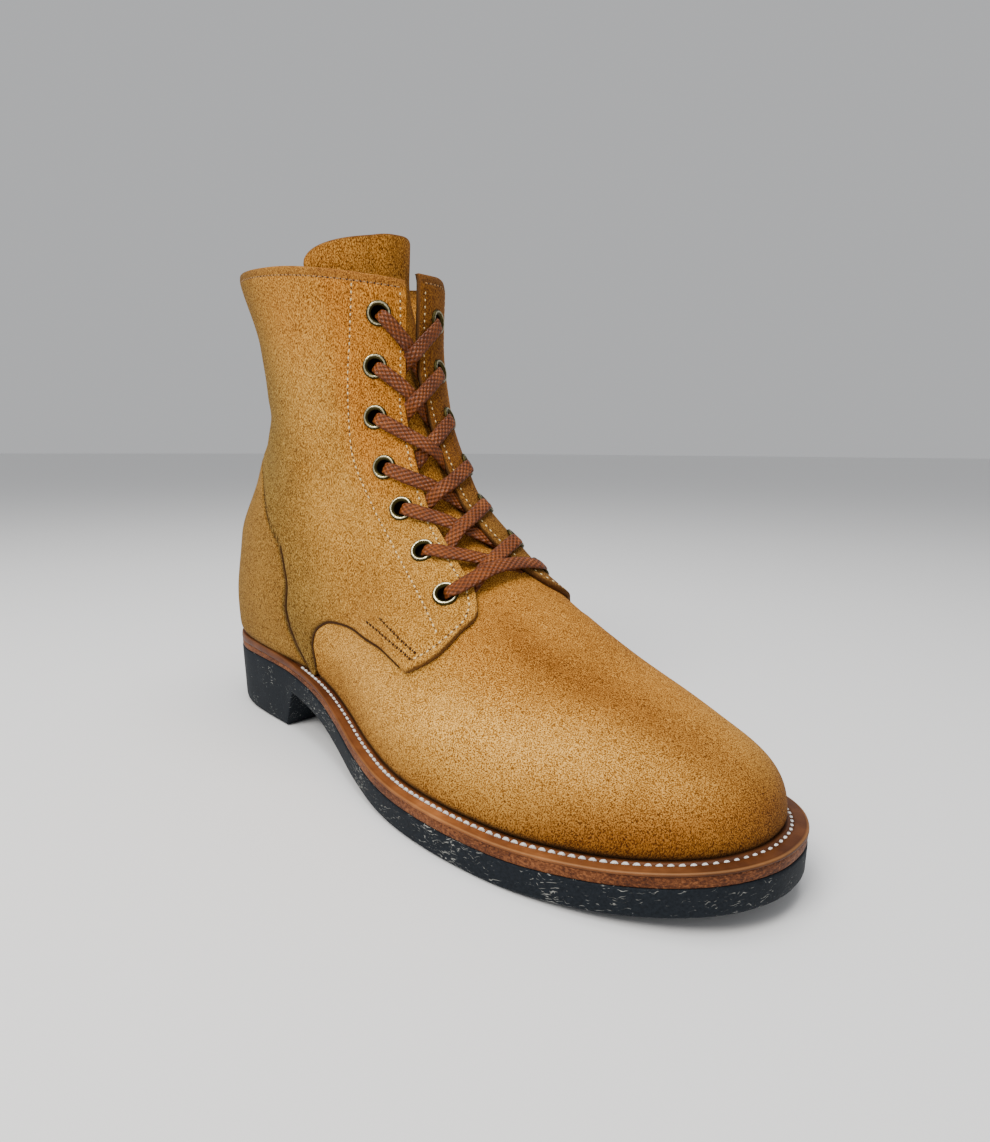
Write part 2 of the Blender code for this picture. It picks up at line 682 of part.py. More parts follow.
def main():
    clear_scene()
    add_outsole()
    add_midsole()
    add_welt()
    add_insole()
    add_upper()
    add_tongue()
    add_counter()
    add_eyelets()
    add_laces()


main()
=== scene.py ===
"""Looks of a right-foot ankle boot: rough-out suede upper, laces, welted leather and flecked rubber sole.

Shapes are in millimetres in the last's own coordinates: X heel to toe, Y to the wearer's left, Z up.
The upper is one function of (around, up): around is 0 at the lacing, 0.5 at the back seam,
positive on the outer side; up is 0 at the welt and 1 at the collar.
"""

import json
import math

import bpy
import numpy as np
from mathutils import Matrix, Vector

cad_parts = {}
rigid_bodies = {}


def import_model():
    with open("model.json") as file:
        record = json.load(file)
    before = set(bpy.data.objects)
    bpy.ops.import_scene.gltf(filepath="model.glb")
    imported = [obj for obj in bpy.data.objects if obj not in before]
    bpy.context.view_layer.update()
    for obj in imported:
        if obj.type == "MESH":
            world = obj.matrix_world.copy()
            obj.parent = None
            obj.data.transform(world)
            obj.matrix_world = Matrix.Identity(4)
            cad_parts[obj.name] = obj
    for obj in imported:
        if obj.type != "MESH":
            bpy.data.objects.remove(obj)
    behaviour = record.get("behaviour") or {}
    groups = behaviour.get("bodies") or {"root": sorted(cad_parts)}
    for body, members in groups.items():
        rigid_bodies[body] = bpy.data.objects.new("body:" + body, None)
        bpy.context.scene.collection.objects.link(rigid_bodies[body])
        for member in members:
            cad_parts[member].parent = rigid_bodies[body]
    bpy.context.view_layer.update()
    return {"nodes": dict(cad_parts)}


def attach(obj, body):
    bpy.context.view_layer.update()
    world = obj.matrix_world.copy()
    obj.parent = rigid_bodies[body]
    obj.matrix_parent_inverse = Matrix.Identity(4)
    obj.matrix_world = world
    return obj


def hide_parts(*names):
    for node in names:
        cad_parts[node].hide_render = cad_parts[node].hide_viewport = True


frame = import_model()

MM = 0.001
BOX_MIDDLE = np.array([-0.77, -4.3, 0.0])

# Small distances on the leather in pattern units: millimetres for one unit of around and of up
MM_AROUND = 330.0
MM_UP = 190.0
UV_PER_MM = 0.01
BACK_SEAM = 0.5

# Leather: how high each layer lies over the last, and how thick it is
QUARTER_STEP = 1.8
QUARTER_THICK = 2.0
VAMP_THICK = 1.8
COUNTER_STEP = 1.0
COUNTER_THICK = 1.0

# Tongue: depth under the facings, thickness and lean in mm; outline and ends of fades in around and up
TONGUE_DEPTH = 2.5
TONGUE_THICK = 1.8
TONGUE_RISE = 0.095
TONGUE_ROUND = 0.65
TONGUE_SKEW = 0.22
TONGUE_EDGE_RISE = 0.006
TONGUE_HALF = 0.205
TONGUE_FOOT = 0.33
TONGUE_LEAN = 11.5
TONGUE_LEAN_UP = (0.75, 1.02)
TONGUE_LEAN_OUTER = (0.05, 0.17)
TONGUE_LEAN_INNER = (0.16, 0.28)

# Grids of the leather pieces: offsets of the close lines along an edge in mm, numbers of even lines and rows
EDGE_STEPS = np.array([0, 0.2, 0.45, 0.8, 1.3, 2.0, 3.0, 4.2, 5.6])
COLLAR_STEPS = np.array([5.6, 4.8, 4.1, 3.7, 3.3, 2.9, 2.4, 1.5, 0.8, 0.3, 0])
CORNER_BAND = np.linspace(0.16, 0.19, 36)
VAMP_LINES = 90
VAMP_ROWS = 62
VAMP_HIDDEN_ROWS = 7
VAMP_FOOT_ROWS = (0.0, 0.004)
QUARTER_FRONT_LINES = 52
QUARTER_BACK_LINES = 130
QUARTER_ROWS = 110
COUNTER_LINES = 64
COUNTER_ROWS = 66
COUNTER_LENGTH = 56.0
COUNTER_FRONT_POINTS = 24
COUNTER_TOP_POINTS = 40
TONGUE_LINES = 121
TONGUE_ROWS = 110

# Edges of the leather in mm: radius and depth of a rolled edge, height and reach of a swelling
CUT_ROLL = (0.5, 0.4)
COLLAR_ROLL = (0.8, 0.5)
TONGUE_ROLL = (0.7, 0.4)
COUNTER_SWELL = (0.9, 9.0)
TAB_SWELL = (0.3, 4.0)
COLLAR_FALL = 0.7
FAR = 99.0

# Grooves of the leather: half widths and depths in mm, ends of a fade in around
SEAM_GROOVE = 0.65
SEAM_GROOVE_DEPTH = 0.7
COUNTER_GROOVE = 0.6
COUNTER_GROOVE_DEPTH = 1.2
COUNTER_SUNK = 0.3
BACK_GROOVE_SHARE = 0.7
BACK_GROOVE_DEPTH = 0.45
ROW_GROOVE = 0.7
ROW_GROOVE_DEPTH = 0.22
VAMP_TUCK = 0.35
VAMP_SEAM_TUCK = 0.5
VAMP_TUCK_REACH = 1.5
FOOT_SHADOW = 2.2
VAMP_FOOT_DEPTH = 0.8
HEEL_SHADOW = 3.2
COUNTER_FOOT_DEPTH = 1.6
HEEL_TUCK = 1.8
HEEL_TUCK_WIDTH = 5.0
HEEL_TUCK_AROUND = (0.336, 0.344)

# Soft patches on the leather: strength, ends of the fade in around, ends of the fade in up
INNER_TAB_RISE = (0.034, (0.16, 0.11), (0.36, 0.31))
INNER_CORNER_RISE = (0.02, (0.16, 0.06), (0.85, 1.0))
THROAT_DIP = (2.0, (0.12, 0.09), (0.335, 0.385))
# Painted shade, with some burnished tone, low round the toe and low on the outer side
TOE_BURNISH_AND_SHADE = (0.86, (0.19, 0.06), (0.16316, 0.0614))
SIDE_BURNISH_AND_SHADE = (0.45, (0.05, 0.11), (0.09, 0.0))
VAMP_WARMTH = (0.4, (0.16, 0.1), (0.1, 0.18))
FAR_SHADE = (0.1, (0.03, -0.03), (0.2, 0.12))
FACING_WARMTH = (0.75, (0.2, 0.13), (0.4, 0.6))

# Shading of the leather: strengths from 0 to 1, widths in mm, ends of fades in around or up
# Burnished tone with painted shade over the vamp outside its lit band
VAMP_BURNISH_AND_SHADE = 0.12
# Painted light in a band on the vamp's outer side
VAMP_PAINTED_LIGHT = 0.7
VAMP_LIT_BAND_WIDTH = 11.0
# Burnished tone with painted shade in a streak on the vamp
STREAK_BURNISH_AND_SHADE = 0.5
STREAK_WIDTH = 9.0
TOP_WARMTH = 0.4
TOP_WARMTH_UP = (0.7, 0.9)
# Painted shade, with a little burnished tone, over the quarters; more painted shade on the inner facing, the
# counter and the tongue
QUARTER_BURNISH_AND_SHADE = 0.05
OUTER_SHADE_AROUND = (0.23, 0.35)
INNER_SHADE_AROUND = (0.4, 0.5)
INNER_FACING_AROUND = (0.15, 0.09)
INNER_FACING_SHADE = 0.5
INNER_FACING_SATURATED_SHADE = 0.7
COUNTER_SATURATED_SHADE = 0.25
COUNTER_SHADE = 0.55
COUNTER_SHADE_AROUND = (0.34, 0.44)
TONGUE_WARMTH = 0.4
TONGUE_SATURATED_SHADE = 0.32
EDGE_DARK = 0.8
CUT_EDGE = 0.3
TONGUE_EDGE = 0.5
# Darker band above the collar's stitch row: compressed leather with painted shade where it turns in
COLLAR_BAND_TONE_AND_SHADE = 0.55
COLLAR_TURN = 0.6
# Painted shade in the seam grooves, along the foot of the upper over the welt, and beside the facings on the
# tongue
GROOVE_SHADE_DARKNESS = 0.92
FOOT_SHADOW_DARKNESS = 0.95
FACING_SHADOW = 2.2
FACING_SHADOW_DARK = 0.8
FACING_SHADOW_UP = (1.0, 0.97)

# Sole stack in mm
RUBBER_THICK = 9.3
HEEL_BREAST_X = -76.0
BREAST_SLOPE = 8.0
HEEL_BEVEL = 3.8
HEEL_BEVEL_X = -114.0
HEEL_INSET = 1.0
SOLE_POINTS = 2880
SOLE_STATIONS = 190

# Edges of the rubber: inset and drop below its top, shares of its side, inset and rise above its foot
RUBBER_TOP_EDGE = ((2.0, 0.02), (0.5, 0.05), (0.12, 0.3), (0.0, 0.8))
RUBBER_SIDE = (0.25, 0.5, 0.75)
RUBBER_FOOT_EDGE = ((0.0, 1.0), (0.12, 0.45), (0.4, 0.12), (1.0, 0.0), (2.5, 0.0))
# Edge of the midsole: inset, share of the way from its top to its foot, offset in mm
MIDSOLE_EDGE = (
    (3.0, 0.0, 0.0), (0.6, 0.0, 0.0), (0.35, 0.0, -0.12), (0.25, 0.0, -0.4), (0.18, 0.3, 0.0),
    (0.15, 0.55, 0.0), (0.2, 0.8, 0.0), (0.35, 1.0, 0.25), (0.7, 1.0, 0.0), (3.0, 1.0, 0.0),
)
# Stitch channel of the welt: distance outside the feather line, height, darkness of painted shade
WELT_CHANNEL = (
    (-1.2, -0.3, 1.0), (0.0, -0.1, 0.9), (0.5, 0.0, 0.2), (0.85, -0.05, 0.0), (1.1, -0.32, 0.4),
    (1.6, -0.45, 0.6), (2.1, -0.32, 0.4), (2.35, -0.05, 0.0), (2.7, 0.0, 0.0),
)
WELT_CHANNEL_X = (-82.0, -74.0)
WELT_CHANNEL_CLEAR = 0.25
# Rim of the welt: inset from the sole's edge, share of the side's height, darkness of painted shade, below 0
# a painted highlight along the rim
WELT_RIM = (
    (1.35, 0.0, 0.0), (1.15, -0.05, 0.3), (0.95, 0.0, 0.0), (0.65, 0.02, -0.3), (0.32, -0.04, -0.6),
    (0.1, -0.2, -0.4), (0.0, -0.45, 0.0), (0.0, -0.75, 0.0), (0.12, -1.0, 0.5), (0.6, -1.0, 0.6),
)

# Eyelets: half section over the bottom, which is dark as painted shade in the hole, barrel, crest and flange,
# as radius and height
EYELET_R = 5.0
EYELET_BORE = 3.0
EYELET_STEPS = 40
EYELET_MERGE = 0.00001
EYELET_SECTION = (
    (0.0, -1.4), (EYELET_BORE - 0.05, -1.4), (EYELET_BORE - 0.02, 0.2), (3.3, 0.5), (3.65, 0.82),
    (3.95, 0.97), (4.2, 1.0), (4.45, 0.95), (4.7, 0.72), (4.9, 0.35), (EYELET_R, 0.02), (4.6, -0.1),
)
PUNCH_SIDES = 28
PUNCH_DEPTH = 0.014

# Laces in mm; the cell of the weave is in units of the map
LACE_WIDTH = 5.9
LACE_THICK = 1.4
LACE_SECTION = 16
LACE_STEPS = 60
LACE_CELL = (0.0095, 0.014)
RIBBON_SQUARE = (0.6, 0.8)
RIBBON_EVENING = 6
# Bar over the throat: share of the way from outer to inner eyelet, rise in up, lift in mm, share of the width
LACE_BAR = np.array([
    (0.0, 0.0, -4.5, 0.7), (0.0, 0.0, -1.5, 0.72), (0.025, 0.0, 0.9, 0.8), (0.1, 0.0, 2.1, 0.95),
    (0.25, 0.004, 2.6, 1.0), (0.5, 0.008, 2.8, 1.0), (0.75, 0.008, 1.8, 1.0), (0.9, 0.004, 1.4, 0.95),
    (0.985, 0.0, 0.8, 0.8), (1.0, 0.0, -1.5, 0.72), (1.0, 0.0, -4.5, 0.7),
])
# Strand out of an eyelet, and hidden under the other facing: share of its way, lift in mm, share of the width
STRAND_START = ((0.0, -4.5, 0.7), (0.0, -1.5, 0.72), (0.035, 0.9, 0.8), (0.12, 1.95, 0.95))
STRAND_END = ((1.12, -3.0, 1.0), (1.35, -3.2, 1.0))
# Strand on its own facing: share of the way to its edge, lift; then lifts at the crossing and the tuck
STRAND_ON_FACING = ((0.75, 1.35), (1.0, 1.1))
STRAND_TUCK_AT = 0.97
STRAND_OVER = (1.6, -1.2)
STRAND_UNDER = (-0.6, -2.2)
STRAND_DROP = 0.9
STRAND_EDGE_DROP = 0.03
TOP_FROM_INNER = (True, True, True, False, True, True)

# Stitches in mm: length, width and height of one; ends of a row in around or up, and its number of points
STITCH_PITCH = 2.75
CREAM_STITCH = (1.7, 0.8, 0.6)
TAN_STITCH = (1.9, 0.7, 0.5)
DARK_STITCH = (1.4, 1.1, 0.6)
DARK_STITCH_RISE = 0.2
NEEDLE_HOLE = (1.1, 0.8, 0.25)
WELT_STITCH = (2.8, 1.35, 1.1)
WELT_STITCH_PITCH = 3.15
WELT_STITCH_SLANT = 0.2
WELT_STITCH_LINE = 1.6
WELT_STITCH_FROM = -67.0
FACING_STITCH = 4.2
FACING_ROW_UP = (0.325, 0.972, 30)
COLLAR_STITCH = 3.3
COLLAR_ROW_AROUND = (0.024, 0.497, 40)
ROW_CURVE_POINTS = 60
ROW_PATH_POINTS = 400
LOOK_AHEAD = 0.2
# Spindle of a stitch: place along its half length, girth, sag
STITCH_SHAPE = np.array([
    (-1.0, 0.25, -1.0), (-0.8, 0.7, -0.45), (-0.4, 0.95, -0.05), (0.0, 1.0, 0.0),
    (0.4, 0.95, -0.05), (0.8, 0.7, -0.45), (1.0, 0.25, -1.0),
])
STITCH_SIDES = 6

# Dark strips of painted shade in the creases along the closed seams, in mm, and the ends of a fade in around
CREASE_WIDTH = 1.0
CREASE_THICK = 0.3
CREASE_SIDES = 6
CREASE_RISE = 0.4
CREASE_BACK_RISE = 0.6
CREASE_BACK_AROUND = (0.4, 0.43)

# Edge of the sole: x, outer side y, inner side y
SOLE_EDGE = np.array([
    (-149, -7.7, 7.7), (-145, -15.1, 15.1), (-138, -22.6, 22.6), (-125, -28.8, 28.8), (-105, -31.6, 31.4),
    (-70, -33.4, 31.2), (-45, -36.7, 28.6), (-25, -41.6, 27.8), (0, -49.3, 30.0), (25, -55.3, 36.0),
    (50, -57.8, 43.5), (75, -56.6, 48.5), (95, -52.8, 49.0), (115, -45.5, 44.5), (133, -34.5, 34.5),
    (143, -24.0, 24.0), (149, -11.0, 11.0),
])
SOLE_TOE = (150.3, 0.0)
SOLE_HEEL = (-150.0, 0.0)

# Underside of the rubber above the floor: x, z
ARCH = np.array([
    (-150, 20.8), (-100, 20.6), (-80, 19.7), (-60, 17.2), (-40, 13.3), (-20, 8.0), (0, 3.4),
    (20, 0.6), (35, 0.0), (75, 0.0), (110, 2.0), (150, 7.2),
])
# Welt and midsole together: x, thickness
LEATHER = np.array([(-150, 7.4), (-125, 7.2), (-90, 6.0), (-60, 5.0), (0, 4.85), (150, 4.85)])
# Welt that shows outside the upper: x, width
WELT_WIDTH = np.array([(-150, 3.2), (-110, 3.4), (-60, 5.0), (-20, 6.3), (150, 6.5)])

# Side of the welt above the midsole's edge: x, height
WELT_SIDE = np.array([(-150, 3.7), (-85, 3.2), (-50, 1.6), (-10, 1.0), (150, 1.0)])

# Foot of the last: height of the ridge above the welt, and the ridge's y
RIDGE = np.array([
    (-140, 62), (-60, 88), (-20, 100), (10, 93.3), (40, 71.9), (70, 53.5), (95, 42.0), (118, 34.6),
    (146, 31.0),
])
RIDGE_Y = np.array([(-100, 0), (-60, 0), (-20, 4), (20, 9), (50, 10), (90, 7), (120, 3), (143, 0)])
TOE_ROUND_X = 70.0
TOE_ROUND = 2.9
HEEL_ROUND_X = -95.0
OUTER_ROUND = 2.0
INNER_ROUND = 2.3
SIDE_BULGE = 0.05
RIDGE_REACH = 0.5
LEAST_SPAN = 0.5

# Shaft of the last: z, back x, front x, half width
SHAFT = np.array([
    (20, -136, -60, 24), (45, -147, -30, 30), (65, -149.5, -9.2, 33.8), (90, -144.5, -2.2, 34),
    (120, -126, -1.6, 31), (150, -113.5, -10.2, 29.5), (180, -116.5, -16.3, 31.5),
    (215, -130, -17, 36.5), (240, -134, -16, 38),
])
SHAFT_ROUND = 2.25
FORM_SCALE = 42.0
INSTEP_FILLET = 16.0
COLLAR = np.array([(-135, 212.7), (-75, 209.2), (-15, 199.2)])
COLLAR_GUIDE_Z = 205.0

# Search for the last's surface: lines leave this core and end beyond the surface
CORE_LOW = np.array([-20.0, 0.0, 48.0])
CORE_HIGH = np.array([-74.0, 0.0, 196.0])
SEARCH_REACH = 2.6
SEARCH_STEPS = 34
NORMAL_STEP = 0.05

# Lacing line against the last's own front: up, shift around
LACING_LINE = np.array([
    (0, 0), (0.2, 0.024), (0.32, 0.031), (0.4, 0.041), (0.47, 0.047), (0.6, 0.048),
    (0.7, 0.045), (0.8, 0.036), (0.86, 0.027), (1.0, 0.017), (1.15, 0.015),
])
# Front edge of each quarter: up, distance around from the lacing line
FACING = np.array([
    (0.32, 0.052), (0.345, 0.052), (0.383, 0.047), (0.46, 0.041), (0.6, 0.035),
    (0.73, 0.027), (0.8, 0.018), (0.85, 0.0165), (1.0, 0.0145), (1.15, 0.0145),
])
# Lower end of the facing edge, and where it counts as one: around, up
FACING_FOOT = 0.052
FACING_FROM = 0.3
# Lower edge of each quarter over the vamp: around, up
SEAM = np.array([
    (0, 0.345), (0.03, 0.343), (0.045, 0.332), (0.052, 0.32), (0.06, 0.3), (0.07, 0.281),
    (0.104, 0.258), (0.168, 0.204), (0.174, 0.199), (0.18, 0.203), (0.205, 0.216), (0.249, 0.209),
    (0.281, 0.194), (0.303, 0.16), (0.32, 0.101), (0.329, 0.03), (0.335, 0.0), (0.5, 0.0),
])
SEAM_CORNER = 0.174
SEAM_FOOT = 0.329
SEAM_POINTS = 160
# Where the quarter's edge goes over from a free tab to a closed seam, and where the seam's crease begins
SEAM_CLOSING = (SEAM_CORNER - 0.002, SEAM_CORNER + 0.012)
SEAM_CREASE_FROM = SEAM_CORNER + 0.006
# Top of the vamp where it runs on under the quarters and the laces: around, up
VAMP_TOP = np.array([
    (0, 0.395), (0.055, 0.385), (0.08, 0.335), (0.104, 0.305), (0.14, 0.265), (0.174, 0.226),
    (0.205, 0.238), (0.249, 0.232), (0.281, 0.218), (0.303, 0.185), (0.32, 0.13), (0.335, 0.06),
])
# How far the quarter stands over the vamp: around, share of the step
STEP_SHARE = np.array([(0, 1), (0.174, 1), (0.205, 0.55), (0.249, 0.2), (0.3, 0.12), (0.5, 0.08)])
# Top edge of the heel counter: share of the way from its front edge to the back seam, up
COUNTER_TOP = np.array([(0, 0.335), (0.03, 0.36), (0.08, 0.4), (0.16, 0.474), (0.35, 0.53), (1, 0.56)])
# Front edge of the heel counter: up, around
COUNTER_EDGE = np.array([
    (0, 0.34), (0.087, 0.338), (0.161, 0.332), (0.257, 0.323), (0.332, 0.323), (0.56, 0.335),
])
# Eyelets of the outer and the inner side, from the throat to the collar: around, up
OUTER_EYELETS = np.array([
    (0.096, 0.313), (0.091, 0.384), (0.095, 0.472), (0.106, 0.569),
    (0.098, 0.686), (0.082, 0.805), (0.068, 0.923),
])
INNER_EYELETS = np.array([
    (0.106, 0.34), (0.1, 0.397), (0.1, 0.473), (0.106, 0.569),
    (0.098, 0.686), (0.082, 0.805), (0.068, 0.923),
])
EYELETS = {1: OUTER_EYELETS, -1: INNER_EYELETS}
# Stitch row behind the eyelets, and the two short rows at the quarter's lower corner: around, up
BACK_ROW = np.array([
    (0.128, 0.258), (0.13, 0.303), (0.133, 0.342), (0.141, 0.411), (0.153, 0.486), (0.164, 0.567),
    (0.161, 0.63), (0.142, 0.747), (0.104, 0.976),
])
CORNER_ROWS = (
    np.array([(0.156, 0.228), (0.165, 0.239), (0.176, 0.252), (0.191, 0.265)]),
    np.array([(0.163, 0.218), (0.171, 0.228), (0.184, 0.237), (0.199, 0.244), (0.217, 0.248)]),
)
TAB_ROW = np.array([
    (0.063, 0.325), (0.07, 0.302), (0.077, 0.288), (0.092, 0.272), (0.107, 0.262), (0.126, 0.249),
    (0.145, 0.234), (0.162, 0.22),
])
# Middle of the dark streak of burnished tone and painted shade, and of the band of painted light on the vamp:
# around, up
VAMP_STREAK = np.array([(0.045, 0.235), (0.03, 0.2), (0.01, 0.16)])
VAMP_LIT_BAND = np.array([(0.28, 0.15), (0.2, 0.155), (0.14, 0.15), (0.09, 0.13), (0.05, 0.1)])
# Soft creases: around, up, direction in degrees, half length, half width, depth (all three in mm)
CREASES = (
    (0.33, 0.60, 20, 22, 5.0, 0.7),
    (0.38, 0.66, 12, 26, 5.5, 0.8),
    (0.27, 0.55, 35, 18, 5.0, 0.5),
    (0.24, 0.47, 60, 20, 6.0, 0.5),
    (-0.31, 0.61, -18, 22, 5.0, 0.7),
    (-0.37, 0.67, -10, 24, 5.5, 0.8),
    (-0.25, 0.5, -45, 18, 5.5, 0.5),
)
# Low swelling on both sides of a crease: share of its depth, times its width
CREASE_SWELL = 0.45
CREASE_SWELL_WIDTH = 2.2

# Camera that matches the photograph: place in the last's coordinates, angles in degrees,
# focal length and centre in pixels
PHOTO_SIZE = (990, 1142)
CAMERA_AT = np.array([215.40, -205.70, 133.64])
CAMERA_AZIMUTH = 46.319
CAMERA_ELEVATION = 12.060
CAMERA_ROLL = 0.282
CAMERA_FOCAL = 714.2
CAMERA_CENTRE = (445.37, 602.58)
SENSOR = 36.0
CLIP_START = 0.01

# Studio: name, place, size, power and colour of each light, all aimed at one point
LIGHTS = (
    ("key", (0.05, -0.8, 1.0), 0.5, 13.0, (1.0, 0.97, 0.92)),
    ("fill", (1.1, -0.5, 0.45), 0.9, 1.0, (1.0, 1.0, 1.0)),
    ("top", (0.05, -0.1, 1.2), 0.7, 11.0, (1.0, 1.0, 1.0)),
)
LIT_POINT = (0.0, 0.0, 0.09)
SKY_COLOUR = (0.93, 0.94, 0.96, 1.0)
SKY_STRENGTH = 0.55
FLOOR_SIZE = 40.0
FLOOR_AT = (0.0, 0.0, -0.0005)
FLOOR_COLOUR = (0.82, 0.82, 0.82)
FLOOR_ROUGHNESS = 0.7


def smooth(table, x, column=1):
    """Monotone cubic through one column of a table, held level beyond both ends."""
    xs, ys = table[:, 0].astype(float), table[:, column].astype(float)
    step = np.diff(xs)
    rise = np.diff(ys) / step
    slope = np.concatenate([rise[:1], np.zeros(len(xs) - 2), rise[-1:]])
    same = rise[:-1] * rise[1:] > 0
    before, after = rise[:-1][same], rise[1:][same]
    late, early = (2 * step[1:] + step[:-1])[same], (step[1:] + 2 * step[:-1])[same]
    slope[1:-1][same] = (late + early) / (late / before + early / after)
    x = np.clip(x, xs[0], xs[-1])
    i = np.clip(np.searchsorted(xs, x) - 1, 0, len(step) - 1)
    t = (x - xs[i]) / step[i]
    ends = ys[i] * (1 + 2 * t) * (1 - t) ** 2 + ys[i + 1] * t * t * (3 - 2 * t)
    return ends + step[i] * (slope[i] * t * (1 - t) ** 2 + slope[i + 1] * t * t * (t - 1))


def ramp(x):
    """Smooth step from 0 to 1."""
    x = np.clip(x, 0, 1)
    return x * x * (3 - 2 * x)


def eased(x, start, end):
    """Smooth step from 0 at start to 1 at end."""
    return ramp((x - start) / (end - start))


def bell(x):
    return np.exp(-x * x)


def patch(values, around, up):
    """Strength of a soft patch at places on the leather."""
    strength, around_ends, up_ends = values
    return strength * eased(around, *around_ends) * eased(up, *up_ends)


def closed_curve(points, count):
    """Smooth loop through the points, as count points evenly spread between them."""
    points = np.asarray(points, float)
    reach = np.linalg.norm(np.roll(points, -1, 0) - points, axis=1)
    gap = np.sqrt(reach * reach.mean())
    knots = np.concatenate([[0], np.cumsum(gap)])
    slope = (np.roll(points, -1, 0) - points) / gap[:, None]
    last_gap = np.roll(gap, 1)
    mixed = np.roll(slope, 1, 0) * gap[:, None] + slope * last_gap[:, None]
    tangent = mixed / (gap + last_gap)[:, None]
    at = np.linspace(0, knots[-1], count, endpoint=False)
    i = np.searchsorted(knots, at, side="right") - 1
    nxt = (i + 1) % len(points)
    t = ((at - knots[i]) / gap[i])[:, None]
    span = gap[i][:, None]
    ends = points[i] * (1 + 2 * t) * (1 - t) ** 2 + points[nxt] * t * t * (3 - 2 * t)
    return ends + span * (tangent[i] * t * (1 - t) ** 2 + tangent[nxt] * t * t * (t - 1))


def moved_in(loop, distance):
    """The loop moved towards its inside; a negative distance moves it out."""
    along = np.roll(loop, -1, 0) - np.roll(loop, 1, 0)
    along /= np.linalg.norm(along, axis=1)[:, None]
    inward = np.stack([along[:, 1], -along[:, 0]], axis=1)
    if ((loop.mean(0) - loop) * inward).sum() < 0:
        inward = -inward
    return loop + inward * np.reshape(distance, (-1, 1))


def sides_of(loop):
    """Tables (x, y) of a loop's outer side and inner side, both from heel to toe."""
    toe, heel = loop[:, 0].argmax(), loop[:, 0].argmin()
    loop = np.roll(loop, -toe, axis=0)
    heel = (heel - toe) % len(loop)
    outer = loop[: heel + 1][::-1]
    inner = np.concatenate([loop[heel:], loop[:1]])
    return outer, inner


def sole_loop():
    outer = SOLE_EDGE[::-1][:, [0, 1]]
    inner = SOLE_EDGE[:, [0, 2]]
    return closed_curve(np.vstack([[SOLE_TOE], outer, [SOLE_HEEL], inner]), SOLE_POINTS)


SOLE = sole_loop()
FEATHER = moved_in(SOLE, smooth(WELT_WIDTH, SOLE[:, 0]))
FEATHER_OUTER, FEATHER_INNER = sides_of(FEATHER)
FEATHER_TOE, FEATHER_HEEL = FEATHER[:, 0].max(), FEATHER[:, 0].min()


def rubber_bottom(x):
    return smooth(ARCH, x)


def welt_top(x):
    return rubber_bottom(x) + RUBBER_THICK + smooth(LEATHER, x)


def foot_depth(x, y, z):
    """How far inside the foot of the last a point is, roughly in millimetres."""
    toe = np.clip((x - TOE_ROUND_X) / (FEATHER_TOE - TOE_ROUND_X), 0, 1)
    heel = np.clip((HEEL_ROUND_X - x) / (HEEL_ROUND_X - FEATHER_HEEL), 0, 1)
    drop = (1 - toe**TOE_ROUND) ** (1 / TOE_ROUND) * np.sqrt(1 - heel**2)
    height = np.maximum(z - welt_top(x), 0) / np.maximum(smooth(RIDGE, x) * drop, LEAST_SPAN)
    level = np.clip(height, 0, 1)
    bulge = 1 + SIDE_BULGE * 4 * level * (1 - level)
    outer = -np.interp(x, FEATHER_OUTER[:, 0], FEATHER_OUTER[:, 1])
    inner = np.interp(x, FEATHER_INNER[:, 0], FEATHER_INNER[:, 1])
    ridge = np.clip(smooth(RIDGE_Y, x), -RIDGE_REACH * outer, RIDGE_REACH * inner)
    on_outer = y < ridge
    width = np.where(on_outer, outer * bulge + ridge, inner * bulge - ridge)
    width = np.maximum(width, LEAST_SPAN)
    power = np.where(on_outer, OUTER_ROUND, INNER_ROUND)
    reach = (np.abs((y - ridge) / width) ** power + height**2) ** (2 / (power + 2))
    beyond = (x > FEATHER_TOE) | (x < FEATHER_HEEL)
    return np.where(beyond, -FORM_SCALE, np.maximum((1 - reach) * FORM_SCALE, -FORM_SCALE))


def shaft_depth(x, y, z):
    """How far inside the shaft of the last a point is, roughly in millimetres."""
    back, front, half = (smooth(SHAFT, z, column) for column in (1, 2, 3))
    along = np.abs((2 * x - front - back) / (front - back))
    across = np.abs(y / half)
    return (1 - (along**SHAFT_ROUND + across**SHAFT_ROUND) ** (1 / SHAFT_ROUND)) * FORM_SCALE


def last_depth(point):
    """Foot and shaft joined with a fillet at the instep."""
    x, y, z = point[..., 0], point[..., 1], point[..., 2]
    foot, shaft = foot_depth(x, y, z), shaft_depth(x, y, z)
    mix = np.clip(0.5 + 0.5 * (foot - shaft) / INSTEP_FILLET, 0, 1)
    return foot * mix + shaft * (1 - mix) + INSTEP_FILLET * mix * (1 - mix)


def guide(around, up):
    """A point outside or near the last, for each grid line to aim at."""
    share = (around % 1) * len(FEATHER)
    index = np.arange(len(FEATHER) + 1)
    x = np.interp(share, index, np.append(FEATHER[:, 0], FEATHER[0, 0]))
    y = np.interp(share, index, np.append(FEATHER[:, 1], FEATHER[0, 1]))
    feather = np.stack([x, y, welt_top(x)], -1)
    back, front, half = (smooth(SHAFT, COLLAR_GUIDE_Z, column) for column in (1, 2, 3))
    turn = 2 * math.pi * around
    x = (back + front) / 2 + (front - back) / 2 * np.cos(turn)
    collar = np.stack([x, -half * np.sin(turn), smooth(COLLAR, x)], -1)
    return feather + (collar - feather) * up[..., None]


